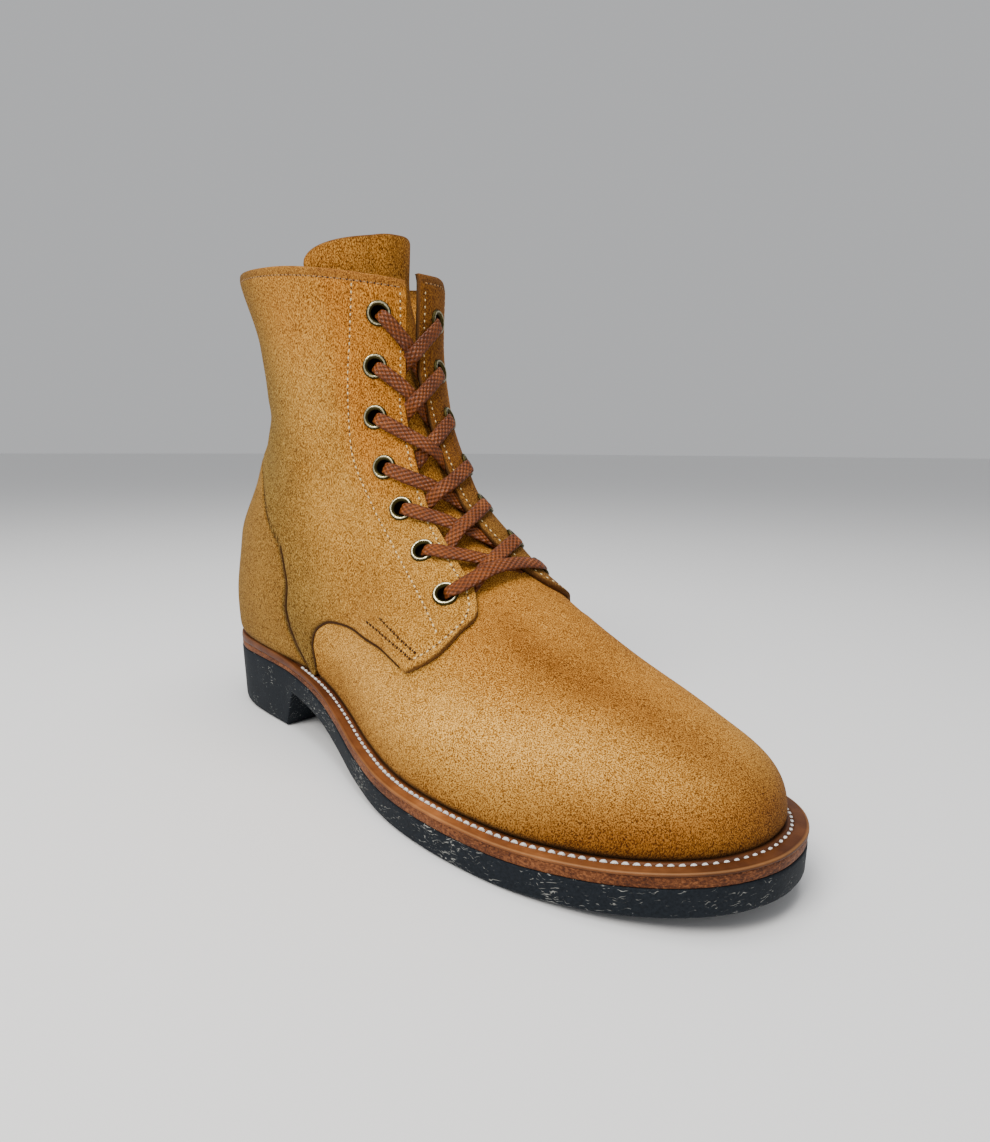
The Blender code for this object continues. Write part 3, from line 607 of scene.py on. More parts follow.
def on_last(around, up):
    """Points of the last's surface, found along lines out of its core."""
    around, up = np.broadcast_arrays(np.asarray(around, float), np.asarray(up, float))
    around = around + smooth(LACING_LINE, up) * (1 - 2 * np.abs(around))
    core = CORE_LOW + (CORE_HIGH - CORE_LOW) * up[..., None]
    line = guide(around, up) - core
    near, far = np.zeros(up.shape), np.full(up.shape, SEARCH_REACH)
    for _ in range(SEARCH_STEPS):
        middle = (near + far) / 2
        inside = last_depth(core + line * middle[..., None]) > 0
        near, far = np.where(inside, middle, near), np.where(inside, far, middle)
    return core + line * near[..., None]


def outward(point):
    """Unit normals of the last at points on it."""
    steps = np.eye(3) * NORMAL_STEP
    slope = [last_depth(point - step) - last_depth(point + step) for step in steps]
    normal = np.stack(slope, -1)
    return normal / np.linalg.norm(normal, axis=-1, keepdims=True)


def leather(around, up, lift):
    """Points a given height above the last's surface."""
    point = on_last(around, up)
    return point + outward(point) * np.broadcast_to(lift, point.shape[:-1])[..., None]


def quarter_lift(around):
    return QUARTER_STEP * smooth(STEP_SHARE, np.abs(around))


def quarter_columns(columns, up):
    """Grid lines of a quarter, drawn in so that the first one follows the facing edge."""
    edge = smooth(FACING, up)
    share = (np.abs(columns) - FACING_FOOT) / (BACK_SEAM - FACING_FOOT)
    beside = edge + (BACK_SEAM - edge) * share
    between = np.abs(columns) / FACING_FOOT * edge
    return np.sign(columns) * np.where(share >= 0, beside, between)


def settled(sign, around, up):
    """Place on the boot of a quarter's up: the inner one sits higher at its tab and its front corner."""
    if sign > 0:
        return up
    return up + patch(INNER_TAB_RISE, around, up) + patch(INNER_CORNER_RISE, around, up)


def relief(around, up):
    """Soft creases: troughs with a low swelling on both sides."""
    height = np.zeros(np.shape(up))
    for a, t, turn, length, width, depth in CREASES:
        x, y = (around - a) * MM_AROUND, (up - t) * MM_UP
        c, s = math.cos(math.radians(turn)), math.sin(math.radians(turn))
        along, across = x * c + y * s, y * c - x * s
        trough = bell(across / width) - CREASE_SWELL * bell(across / width / CREASE_SWELL_WIDTH)
        height = height - depth * bell(along / length) * trough
    return height


def line_distance(around, up, line):
    """Distance in millimetres, on the pattern, from points to a polyline of (around, up)."""
    scale = np.array([MM_AROUND, MM_UP])
    point = np.stack([around, up], -1)[..., None, :] * scale
    start, end = line[:-1] * scale, line[1:] * scale
    step = end - start
    share = ((point - start) * step).sum(-1) / (step * step).sum(-1)
    foot = start + np.clip(share, 0, 1)[..., None] * step
    return np.linalg.norm(point - foot, axis=-1).min(-1)


def banded(low, high, low_offsets, high_offsets, count):
    """Rows from low to high: close ones at both ends, at these offsets, and even ones between."""
    low, high = np.asarray(low, float), np.asarray(high, float)
    first = low + np.asarray(low_offsets)[:, None]
    last = high - np.asarray(high_offsets)[:, None]
    share = np.linspace(0, 1, count + 2)[1:-1, None]
    return np.concatenate([first, first[-1] + (last[0] - first[-1]) * share, last])


def to_metres(points):
    return (np.asarray(points) - BOX_MIDDLE) * MM


def quads_of(rows):
    """Faces of a grid of point numbers."""
    rows = np.asarray(rows)
    corners = (rows[:-1, :-1], rows[:-1, 1:], rows[1:, 1:], rows[1:, :-1])
    return np.stack(corners, -1).reshape(-1, 4)


def add_mesh(name, points, faces, material, uv=None, fields=None):
    """A smooth-shaded mesh object, with a map given in millimetres and float fields on its points."""
    mesh = bpy.data.meshes.new(name)
    mesh.from_pydata(to_metres(points).tolist(), [], [list(map(int, face)) for face in faces])
    mesh.polygons.foreach_set("use_smooth", np.ones(len(mesh.polygons), bool))
    if uv is not None:
        corners = np.empty(len(mesh.loops), np.int32)
        mesh.loops.foreach_get("vertex_index", corners)
        layer = mesh.uv_layers.new(name="map")
        layer.data.foreach_set("uv", (uv[corners] * UV_PER_MM).astype(np.float32).ravel())
    for field, values in (fields or {}).items():
        layer = mesh.attributes.new(field, "FLOAT", "POINT")
        layer.data.foreach_set("value", np.asarray(values, np.float32).ravel())
    mesh.materials.append(material)
    made = bpy.data.objects.new(name, mesh)
    bpy.context.scene.collection.objects.link(made)
    return made


def as_piece(obj, slot, *nodes):
    """Fixes a piece to the boot and hides the nodes that it stands for; the slot of its finish is not used.
    """
    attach(obj, "root")
    if nodes:
        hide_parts(*nodes)


def lengths_map(grid):
    """Map of a grid by its own lengths, from the middle of each row and the start of each column."""
    across = np.linalg.norm(np.diff(grid, axis=1), axis=2)
    along = np.linalg.norm(np.diff(grid, axis=0), axis=2)
    u = np.concatenate([np.zeros((grid.shape[0], 1)), np.cumsum(across, 1)], 1)
    v = np.concatenate([np.zeros((1, grid.shape[1])), np.cumsum(along, 0)], 0)
    u = u - u[:, [grid.shape[1] // 2]]
    return np.stack([u, v], -1).reshape(-1, 2)


def shell_faces(quads, count):
    """Faces of a solid between two sheets of one layout, closed along every free edge."""
    pairs = np.concatenate([quads[:, [i, (i + 1) % 4]] for i in range(4)])
    known = set(map(tuple, pairs.tolist()))
    free = [(a, b) for a, b in pairs.tolist() if (b, a) not in known]
    rim = [[b, a, a + count, b + count] for a, b in free]
    return quads.tolist() + (quads[:, ::-1] + count).tolist() + rim


def add_panel(name, material, around, up, lift, thick, fields):
    """A leather panel: a grid of the last's surface at a height, with a real thickness."""
    point = on_last(around, up)
    normal = outward(point)
    outer = point + normal * lift[..., None]
    inner = point + normal * (lift - thick)[..., None]
    count = outer.shape[0] * outer.shape[1]
    quads = quads_of(np.arange(count).reshape(outer.shape[:2]))
    faces = shell_faces(quads, count)
    points = np.concatenate([outer.reshape(-1, 3), inner.reshape(-1, 3)])
    if (np.cross(outer[0, 1] - outer[0, 0], outer[1, 0] - outer[0, 0]) * normal[0, 0]).sum() < 0:
        faces = [face[::-1] for face in faces]
    uv = lengths_map(outer)
    doubled = {field: np.tile(values.ravel(), 2) for field, values in fields.items()}
    return add_mesh(name, points, faces, material, np.tile(uv, (2, 1)), doubled)


# Shader nodes

def new_material(name):
    material = bpy.data.materials.new(name)
    material.use_nodes = True
    return material, material.node_tree, material.node_tree.nodes["Principled BSDF"]


def node(tree, kind, inputs=None, **settings):
    """A shader node with its settings, and inputs given as values or as sockets to link."""
    made = tree.nodes.new("ShaderNode" + kind)
    for key, value in settings.items():
        setattr(made, key, value)
    for key, value in (inputs or {}).items():
        if isinstance(value, bpy.types.NodeSocket):
            tree.links.new(value, made.inputs[key])
        else:
            made.inputs[key].default_value = value
    return made


def math_node(tree, operation, first, second=0.0):
    return node(tree, "Math", {0: first, 1: second}, operation=operation).outputs[0]


def weighed(tree, terms, offset=0.0):
    """Sum of sockets, each times its weight."""
    total = offset
    for socket, weight in terms:
        made = node(tree, "Math", {0: socket, 1: weight, 2: total}, operation="MULTIPLY_ADD")
        total = made.outputs[0]
    return total


def object_place(tree):
    return node(tree, "TexCoord").outputs["Object"]


def noise(tree, vector, scale, detail=2.0, roughness=0.5, output="Fac"):
    inputs = {"Vector": vector, "Scale": scale, "Detail": detail, "Roughness": roughness}
    return node(tree, "TexNoise", inputs).outputs[output]


def scaled(tree, vector, scale):
    return node(tree, "Mapping", {"Vector": vector, "Scale": scale}).outputs[0]


def curled(tree, vector, place, scale, detail, reach):
    """A vector shifted by soft noise, so that a pattern drawn along it curls."""
    curl = noise(tree, place, scale, detail, output="Color")
    curl = node(tree, "VectorMath", {0: curl, "Scale": reach}, operation="SCALE").outputs[0]
    return node(tree, "VectorMath", {0: vector, 1: curl}, operation="ADD").outputs[0]


def faded(tree, value, start, end, low=0.0, high=1.0):
    """A value that goes from low at start to high at end, and stays there beyond both."""
    inputs = {"Value": value, "From Min": start, "From Max": end, "To Min": low, "To Max": high}
    return node(tree, "MapRange", inputs).outputs[0]


def colour_ramp(tree, value, stops):
    made = node(tree, "ValToRGB", {"Fac": value})
    ramp_points = made.color_ramp.elements
    while len(ramp_points) < len(stops):
        ramp_points.new(0.5)
    for point, (at, colour) in zip(ramp_points, stops):
        point.position = at
        point.color = (*colour, 1.0)
    return made.outputs["Color"]


def mixed(tree, share, first, second, blend="MIX"):
    """Two colours mixed by a share; each of the three is a value or a socket."""
    made = node(tree, "Mix", data_type="RGBA", blend_type=blend)
    for key, value in ((0, share), (6, first), (7, second)):
        if isinstance(value, bpy.types.NodeSocket):
            tree.links.new(value, made.inputs[key])
        else:
            made.inputs[key].default_value = value if key == 0 else (*value, 1.0)
    return made.outputs[2]


def field_of(tree, name, share=1.0):
    """A float field of the mesh, times a share."""
    field = node(tree, "Attribute", attribute_name=name).outputs["Fac"]
    return field if share == 1.0 else math_node(tree, "MULTIPLY", field, share)


def bump(tree, height, strength, distance_mm):
    inputs = {"Height": height, "Strength": strength, "Distance": distance_mm * MM}
    return node(tree, "Bump", inputs).outputs["Normal"]


def dress(tree, shader, colour, finish, normal=None):
    """Gives a shader its colour, the constant values of its finish, and its bump if it has one."""
    tree.links.new(colour, shader.inputs["Base Color"])
    if normal is not None:
        tree.links.new(normal, shader.inputs["Normal"])
    for key, value in finish.items():
        shader.inputs[key].default_value = value


# Materials: scales are in cells per metre; tones go from dark to light, each with its place in the pattern

# Suede: nap and tufts across and along the lay, and the direction of the lay
NAP_SCALE = (2700.0, 2700.0, 1250.0)
TUFT_SCALE = (420.0, 420.0, 230.0)
VAMP_LAY = (0.45, -0.35, 0.82)
QUARTER_LAY = (0.1, -0.1, 1.0)
SUEDE_TONES = ((0.12, (0.125, 0.042, 0.0035)), (0.5, (0.38, 0.162, 0.019)), (0.88, (0.70, 0.375, 0.075)))
# Fields painted over the nap in turn, each with its tint: painted light, warmer tone, painted shade,
# burnished tone with painted shade, dark cut edges with painted shade on the collar's band, painted shade in
# grooves
SUEDE_FIELDS = (
    ("pale", (1.50, 1.60, 1.85), "MULTIPLY"), ("warm", (0.95, 0.70, 0.42), "MULTIPLY"),
    ("shade", (0.45, 0.54, 0.66), "MULTIPLY"), ("burnish_and_shade", (0.42, 0.31, 0.23), "MULTIPLY"),
    ("edge", (0.085, 0.036, 0.010), "MIX"), ("groove", (0.022, 0.009, 0.003), "MIX"),
)
SUEDE_FINISH = {
    "Roughness": 0.9, "Specular IOR Level": 0.12,
    "Sheen Weight": 0.05, "Sheen Roughness": 0.5, "Sheen Tint": (0.9, 0.6, 0.3, 1.0),
}

# Welt: painted shade towards the toe, and darker towards the heel, each between two places along X in metres
WELT_TONES = ((0.3, (0.14, 0.041, 0.010)), (0.55, (0.24, 0.081, 0.020)), (0.8, (0.37, 0.137, 0.041)))
WELT_TOE_SHADE_X = (0.06, 0.14)
WELT_TOE_SHADE = (0.37, 0.34, 0.32)
WELT_HEEL_X = (0.05, -0.03)
WELT_HEEL_TINT = (0.46, 0.40, 0.38)
WELT_RIM_HIGHLIGHT = (0.42, 0.20, 0.07)
WELT_GROOVE_SHADE = (0.03, 0.012, 0.006)
WELT_FINISH = {"Roughness": 0.5, "Specular IOR Level": 0.15, "Coat Weight": 0.04, "Coat Roughness": 0.3}

MIDSOLE_TONES = ((0.36, (0.040, 0.011, 0.0036)), (0.5, (0.11, 0.032, 0.009)), (0.66, (0.25, 0.09, 0.030)))
MIDSOLE_FINISH = {"Roughness": 0.6, "Specular IOR Level": 0.15}

# Rubber: cells of a fleck on the map, the noise that shows as one, and where along X they thin out
RUBBER_TONES = ((0.3, (0.0040, 0.0058, 0.0083)), (0.7, (0.0115, 0.0152, 0.0207)))
FLECK_SCALE = (38.0, 235.0, 1.0)
FLECK_COLOUR = (0.25, 0.25, 0.23)
FLECK_LEVEL = (0.87, 0.96)
FLECK_TOE_X = (0.05, 0.12)
RUBBER_FINISH = {"Roughness": 0.68, "Specular IOR Level": 0.13}

# Antique brass: heights in metres between which the crest is polished and the bore turns dark with painted
# shade
BRASS_POLISH_Z = (0.00105, 0.00116)
BRASS_BORE_SHADE_Z = (-0.0004, 0.0003)
BRASS_DULL = (0.050, 0.040, 0.012)
BRASS_BRIGHT = (0.66, 0.60, 0.38)
BRASS_BORE_SHADE = (0.003, 0.002, 0.001)
BRASS_ROUGHNESS = (0.5, 0.22)

# Lace: the weave's painted shade in its hollows and highlight on its crests, and the painted shade along its
# edges on the map
LACE_TONES = ((0.3, (0.13, 0.030, 0.004)), (0.6, (0.21, 0.053, 0.007)), (0.85, (0.31, 0.095, 0.018)))
LACE_WEAVE_SHADING = (-0.7, 0.5)
LACE_EDGE_SHADE = (0.06, 0.014, 0.004)
LACE_EDGE_SHADE_U = (0.018, 0.028)
LACE_FINISH = {"Roughness": 0.42, "Specular IOR Level": 0.25}

THREAD_DIM = 0.55
THREAD_FINISH = {"Roughness": 0.8, "Specular IOR Level": 0.1}
INSOLE_TONES = ((0.3, (0.30, 0.17, 0.08)), (0.7, (0.45, 0.28, 0.15)))


def lay_turn(direction):
    """Rotation that brings the direction of the nap upright."""
    return Vector(direction).rotation_difference((0.0, 0.0, 1.0)).to_euler()


def suede_material(name, lay):
    """Rough-out leather: a short nap lying one way, brushed in patches, with fields of tone, painted light
    and painted shade over it.
    """
    material, tree, shader = new_material(name)
    place = object_place(tree)
    flow = curled(tree, place, place, scale=60.0, detail=1.0, reach=0.004)
    flow = node(tree, "Mapping", {"Vector": flow, "Rotation": lay_turn(lay)}).outputs[0]
    nap = noise(tree, scaled(tree, flow, NAP_SCALE), 1.0, roughness=0.55)
    tuft = noise(tree, scaled(tree, flow, TUFT_SCALE), 1.0)
    brushed = noise(tree, place, 18.0)
    tone = weighed(tree, ((nap, 3.3), (tuft, 0.25), (brushed, 0.5)), offset=-1.525)
    colour = colour_ramp(tree, tone, SUEDE_TONES)
    for field, tint, blend in SUEDE_FIELDS:
        colour = mixed(tree, field_of(tree, field), colour, tint, blend)
    height = weighed(tree, ((nap, 1.0), (tuft, 0.3)))
    dress(tree, shader, colour, SUEDE_FINISH, bump(tree, height, strength=0.45, distance_mm=0.5))
    return material


def welt_material():
    """Smooth waxed leather with fine pores: painted shade towards the toe, darker towards the heel, a painted
    highlight along the rim and painted shade in its grooves.
    """
    material, tree, shader = new_material("welt_leather")
    place = object_place(tree)
    along = node(tree, "SeparateXYZ", {0: place}).outputs[0]
    colour = colour_ramp(tree, noise(tree, place, 90.0, detail=3.0, roughness=0.6), WELT_TONES)
    # Painted shade towards the toe
    colour = mixed(tree, faded(tree, along, *WELT_TOE_SHADE_X), colour, WELT_TOE_SHADE, "MULTIPLY")
    # Painted highlight along the welt's rim
    colour = mixed(tree, field_of(tree, "rim_highlight", 0.6), colour, WELT_RIM_HIGHLIGHT)
    colour = mixed(tree, faded(tree, along, *WELT_HEEL_X), colour, WELT_HEEL_TINT, "MULTIPLY")
    # Painted shade in the welt's grooves and at the feather line
    colour = mixed(tree, field_of(tree, "groove", 0.7), colour, WELT_GROOVE_SHADE)
    pores = noise(tree, place, 1500.0, detail=3.0, roughness=0.7)
    dress(tree, shader, colour, WELT_FINISH, bump(tree, pores, strength=0.25, distance_mm=0.15))
    return material


def midsole_material():
    """Cut and dyed leather edge: dark and reddish mottling."""
    material, tree, shader = new_material("midsole_leather")
    place = object_place(tree)
    speck = noise(tree, scaled(tree, place, (1.0, 1.0, 1.6)), 900.0, detail=4.0, roughness=0.75)
    dye = noise(tree, place, 60.0)
    tone = weighed(tree, ((dye, 0.35), (speck, 1.0)), offset=-0.17)
    colour = colour_ramp(tree, tone, MIDSOLE_TONES)
    dress(tree, shader, colour, MIDSOLE_FINISH, bump(tree, speck, strength=0.4, distance_mm=0.3))
    return material


def rubber_material():
    """Dark rubber with short pale curved fibres in clusters, fewer towards the heel and round the toe."""
    material, tree, shader = new_material("sole_rubber")
    uv = node(tree, "UVMap", uv_map="map").outputs[0]
    place = object_place(tree)
    flow = curled(tree, uv, place, scale=260.0, detail=2.0, reach=0.05)
    streak = noise(tree, scaled(tree, flow, FLECK_SCALE), 1.0, detail=1.0)
    cluster = noise(tree, place, 85.0, detail=1.0)
    along = node(tree, "SeparateXYZ", {0: place}).outputs[0]
    toe = faded(tree, along, *FLECK_TOE_X)
    fleck = weighed(tree, ((streak, 1.0), (cluster, 0.45), (along, 0.55), (toe, -0.085)))
    grain = noise(tree, place, 1100.0, detail=3.0, roughness=0.7)
    colour = colour_ramp(tree, grain, RUBBER_TONES)
    colour = mixed(tree, faded(tree, fleck, *FLECK_LEVEL), colour, FLECK_COLOUR)
    dress(tree, shader, colour, RUBBER_FINISH, bump(tree, grain, strength=0.3, distance_mm=0.25))
    return material


def brass_material():
    """Antique brass: polished on the crest, dark olive on the slopes, and painted shade in the bore."""
    material, tree, shader = new_material("antique_brass")
    place = object_place(tree)
    height = node(tree, "SeparateXYZ", {0: place}).outputs[2]
    wear = noise(tree, place, 1200.0, detail=3.0)
    level = weighed(tree, ((wear, 0.0003), (height, 1.0)))
    polish = faded(tree, level, *BRASS_POLISH_Z)
    colour = mixed(tree, polish, BRASS_DULL, BRASS_BRIGHT)
    # Painted shade in the bore and at the bottom of the hole
    colour = mixed(tree, faded(tree, height, *BRASS_BORE_SHADE_Z), BRASS_BORE_SHADE, colour)
    dress(tree, shader, colour, {"Metallic": 1.0})
    tree.links.new(faded(tree, polish, 0.0, 1.0, *BRASS_ROUGHNESS), shader.inputs["Roughness"])
    return material


def lace_material():
    """Waxed flat braid: crossing diagonal strands with a soft gloss, painted shade in the weave's hollows and
    a painted highlight on its crests, and painted shade along both edges.
    """
    material, tree, shader = new_material("lace_cord")
    split = node(tree, "SeparateXYZ", {0: node(tree, "UVMap", uv_map="map").outputs[0]})
    u, v = split.outputs[0], split.outputs[1]
    across = math_node(tree, "SINE", math_node(tree, "MULTIPLY", u, math.pi / LACE_CELL[0]))
    along = math_node(tree, "SINE", math_node(tree, "MULTIPLY", v, math.pi / LACE_CELL[1]))
    weave = math_node(tree, "MULTIPLY", across, along)
    place = object_place(tree)
    colour = colour_ramp(tree, noise(tree, place, 130.0), LACE_TONES)
    # Painted shade in the weave's hollows and a painted highlight on its crests
    colour = mixed(tree, 1.0, colour, faded(tree, weave, *LACE_WEAVE_SHADING, low=0.5, high=1.15), "MULTIPLY")
    # Painted shade along both edges of the lace
    side = faded(tree, math_node(tree, "ABSOLUTE", u), *LACE_EDGE_SHADE_U, high=0.6)
    colour = mixed(tree, side, colour, LACE_EDGE_SHADE)
    fuzz = noise(tree, place, 1100.0, detail=3.0, roughness=0.7)
    height = weighed(tree, ((fuzz, 0.6), (weave, 1.0)))
    dress(tree, shader, colour, LACE_FINISH, bump(tree, height, strength=0.9, distance_mm=0.35))
    return material


def thread_material(name, colour):
    """Twisted sewing thread."""
    material, tree, shader = new_material(name)
    ply = noise(tree, object_place(tree), 2200.0)
    dim = tuple(THREAD_DIM * c for c in colour)
    tone = colour_ramp(tree, ply, ((0.3, dim), (0.6, colour)))
    dress(tree, shader, tone, THREAD_FINISH, bump(tree, ply, strength=0.3, distance_mm=0.1))
    return material


def insole_material():
    material, tree, shader = new_material("insole_leather")
    grain = noise(tree, object_place(tree), 400.0, detail=4.0, roughness=0.65)
    colour = colour_ramp(tree, grain, INSOLE_TONES)
    dress(tree, shader, colour, {"Roughness": 0.6}, bump(tree, grain, strength=0.3, distance_mm=0.3))
    return material


def plain_material(name, colour, roughness):
    material, _, shader = new_material(name)
    shader.inputs["Base Color"].default_value = (*colour, 1.0)
    shader.inputs["Roughness"].default_value = roughness
    return material


VAMP_SUEDE = suede_material("vamp_suede", VAMP_LAY)
QUARTER_SUEDE = suede_material("quarter_suede", QUARTER_LAY)
BRASS = brass_material()
LACE = lace_material()
CREAM_THREAD = thread_material("cream_thread", (0.82, 0.64, 0.33))
WHITE_THREAD = thread_material("white_thread", (0.80, 0.80, 0.78))
TAN_THREAD = thread_material("tan_thread", (0.40, 0.22, 0.09))
DARK_THREAD = thread_material("dark_thread", (0.055, 0.022, 0.006))
# Dark marks that stand in for the shade in the needle holes
NEEDLE_HOLE_SHADE = plain_material("needle_hole", (0.03, 0.014, 0.006), roughness=0.95)


# Upper

def closed_share(around):
    """1 along the closed part of the quarter's seam, 0 along the free edge of its front tab."""
    return eased(np.abs(around), *SEAM_CLOSING)


def rolled(distance, radius, depth):
    """Drop of a cut leather edge near its end."""
    near = 1 - np.clip(distance / radius, 0, 1)
    return depth * (1 - np.sqrt(1 - near * near))


def swollen(distance, height, reach):
    """Rise of the leather towards a line."""
    return height * ramp(1 - distance / reach)


def vamp_grid():
    """Grid of the vamp, from the welt to the seam and on under the quarters, with the seam's up by column."""
    front = np.linspace(0, CORNER_BAND[0], VAMP_LINES)
    side = np.linspace(CORNER_BAND[-1], SEAM_FOOT, VAMP_LINES)
    half = np.concatenate([front, CORNER_BAND[1:], side[1:]])
    columns = np.concatenate([-half[:0:-1], half])
    seam = smooth(SEAM, np.abs(columns))
    welt = np.zeros(len(columns))
    below = banded(welt, seam, VAMP_FOOT_ROWS, EDGE_STEPS[::-1] / MM_UP / 2, VAMP_ROWS)
    share = np.linspace(0, 1, VAMP_HIDDEN_ROWS + 1)[1:, None]
    above = seam + (smooth(VAMP_TOP, np.abs(columns)) - seam) * share
    up = np.concatenate([below, above])
    return np.broadcast_to(columns, up.shape), up, seam


def vamp_tones(around, up):
    """Fields of the vamp: burnished tone with painted shade low round the toe, low on the outer side and in a
    streak; painted shade on the far side; painted light in a band.
    """
    pale = bell(line_distance(around, up, VAMP_LIT_BAND) / VAMP_LIT_BAND_WIDTH)
    streak = STREAK_BURNISH_AND_SHADE * bell(line_distance(around, up, VAMP_STREAK) / STREAK_WIDTH)
    patches = patch(TOE_BURNISH_AND_SHADE, np.abs(around), up) + patch(SIDE_BURNISH_AND_SHADE, around, up)
    burnish_and_shade = np.clip(VAMP_BURNISH_AND_SHADE * (1 - pale) + patches + streak, 0, 1)
    warm = patch(VAMP_WARMTH, np.abs(around), up) * (1 - pale)
    shade = patch(FAR_SHADE, around, up)
    return {"burnish_and_shade": burnish_and_shade, "warm": warm, "shade": shade, "pale": VAMP_PAINTED_LIGHT * pale}


def add_vamp():
    around, up, seam = vamp_grid()
    closed = closed_share(around)
    gap = (up - seam) * MM_UP
    groove = closed * bell(gap / SEAM_GROOVE)
    foot = bell(up * MM_UP / FOOT_SHADOW)
    tuck = ramp(gap / VAMP_TUCK_REACH) * (VAMP_TUCK + VAMP_SEAM_TUCK * closed)
    lift = relief(around, up) - SEAM_GROOVE_DEPTH * groove - tuck
    lift = lift - patch(THROAT_DIP, np.abs(around), up) - VAMP_FOOT_DEPTH * foot
    # Painted shade in the seam's groove and along the foot over the welt
    fields = {"groove": np.maximum(groove, FOOT_SHADOW_DARKNESS * foot), **vamp_tones(around, up)}
    obj = add_panel("vamp", VAMP_SUEDE, around, up, lift, VAMP_THICK, fields)
    as_piece(obj, "suede", "upper")


def counter_line():
    """Edge of the heel counter from the welt up its front and back along its top, outer side."""
    front_up = np.linspace(0.0, COUNTER_TOP[0, 1], COUNTER_FRONT_POINTS)
    front = np.column_stack([smooth(COUNTER_EDGE, front_up), front_up])
    share = np.linspace(0, 1, COUNTER_TOP_POINTS)[1:]
    top_up = smooth(COUNTER_TOP, share)
    edge = smooth(COUNTER_EDGE, top_up)
    top = np.column_stack([edge + (BACK_SEAM - edge) * share, top_up])
    return np.concatenate([front, top])


def facing_row():
    up = np.linspace(*FACING_ROW_UP)
    return np.column_stack([smooth(FACING, up) + FACING_STITCH / MM_AROUND, up])


def collar_row():
    around = np.linspace(*COLLAR_ROW_AROUND)
    return np.column_stack([around, np.full(len(around), 1 - COLLAR_STITCH / MM_UP)])


SEAM_AROUND = np.linspace(FACING_FOOT, SEAM_FOOT, SEAM_POINTS)
SEAM_LINE = np.column_stack([SEAM_AROUND, smooth(SEAM, SEAM_AROUND)])
CLOSED_SEAM = SEAM_LINE[SEAM_AROUND > SEAM_CREASE_FROM]
COUNTER_LINE = counter_line()
FACING_ROW = facing_row()
COLLAR_ROW = collar_row()
SEWN_ROWS = (FACING_ROW, COLLAR_ROW, TAB_ROW, BACK_ROW)


def quarter_grid():
    near = FACING_FOOT + EDGE_STEPS / MM_AROUND
    front = np.linspace(near[-1], CORNER_BAND[0], QUARTER_FRONT_LINES)
    back = np.linspace(CORNER_BAND[-1], BACK_SEAM, QUARTER_BACK_LINES)
    columns = np.concatenate([near, front[1:], CORNER_BAND[1:], back[1:]])
    collar = np.ones(len(columns))
    up = banded(smooth(SEAM, columns), collar, EDGE_STEPS / MM_UP, COLLAR_STEPS / MM_UP, QUARTER_ROWS)
    return quarter_columns(np.broadcast_to(columns, up.shape), up), up


def quarter_gaps(around, up):
    """Distances in millimetres on a quarter from its seam, facing edge, counter, collar and back seam."""
    seam = line_distance(around, up, SEAM_LINE)
    facing = np.where(up > FACING_FROM, (around - smooth(FACING, up)) * MM_AROUND, FAR)
    counter = line_distance(around, up, COUNTER_LINE)
    return seam, facing, counter, (1 - up) * MM_UP, (BACK_SEAM - around) * MM_AROUND


def quarter_grooves(around, gaps):
    """Shares of the grooves along a quarter's closed seam, round the counter and at the back seam."""
    seam, _, counter, _, back = gaps
    seam_groove = closed_share(around) * bell(seam / SEAM_GROOVE)
    return seam_groove, bell(counter / COUNTER_GROOVE), BACK_GROOVE_SHARE * bell(back / COUNTER_GROOVE)


def quarter_height(sign, around, up):
    """Height of a quarter's face above the last."""
    gaps = quarter_gaps(around, up)
    seam, facing, counter, collar, _ = gaps
    seam_groove, counter_groove, back_groove = quarter_grooves(around, gaps)
    step = quarter_lift(around)
    lift = step + relief(sign * around, up) + swollen(counter, *COUNTER_SWELL)
    lift = lift - COUNTER_GROOVE_DEPTH * counter_groove - BACK_GROOVE_DEPTH * back_groove
    lift = lift + (1 - closed_share(around)) * (swollen(seam, *TAB_SWELL) - rolled(seam, *CUT_ROLL))
    lift = lift - (step + SEAM_GROOVE_DEPTH) * seam_groove
    lift = lift - rolled(facing, *CUT_ROLL) - rolled(collar, *COLLAR_ROLL)
    lift = lift - swollen(collar, COLLAR_FALL, COLLAR_STITCH)
    lift = lift - HEEL_TUCK * bell(up * MM_UP / HEEL_TUCK_WIDTH) * eased(around, *HEEL_TUCK_AROUND)
    for row in SEWN_ROWS:
        lift = lift - ROW_GROOVE_DEPTH * bell(line_distance(around, up, row) / ROW_GROOVE)
    return lift


def quarter_edge(around, gaps):
    """Share of bare edge on a quarter: its facing, its free tab and the turned collar, whose band is
    compressed leather darkened with painted shade.
    """
    seam, facing, _, collar, _ = gaps
    free = (1 - closed_share(around)) * bell(seam / CUT_EDGE)
    turned = COLLAR_BAND_TONE_AND_SHADE * eased(collar, COLLAR_STITCH + COLLAR_TURN, COLLAR_STITCH - COLLAR_TURN)
    return np.maximum.reduce([bell(facing / CUT_EDGE), free, turned])


def quarter_tones(sign, around, up):
    """Fields of a quarter: orange beside the facing, painted shade greyer towards the back; painted shade
    darkens the inner facing.
    """
    warm = np.maximum(patch(FACING_WARMTH, around, up), TOP_WARMTH * eased(up, *TOP_WARMTH_UP))
    if sign > 0:
        shade = eased(around, *OUTER_SHADE_AROUND)
        burnish_and_shade = np.full(up.shape, QUARTER_BURNISH_AND_SHADE)
    else:
        beside = eased(around, *INNER_FACING_AROUND)
        shade = np.maximum(eased(around, *INNER_SHADE_AROUND), INNER_FACING_SHADE * beside)
        burnish_and_shade = QUARTER_BURNISH_AND_SHADE + INNER_FACING_SATURATED_SHADE * beside
    return {"warm": warm, "shade": shade, "burnish_and_shade": burnish_and_shade}


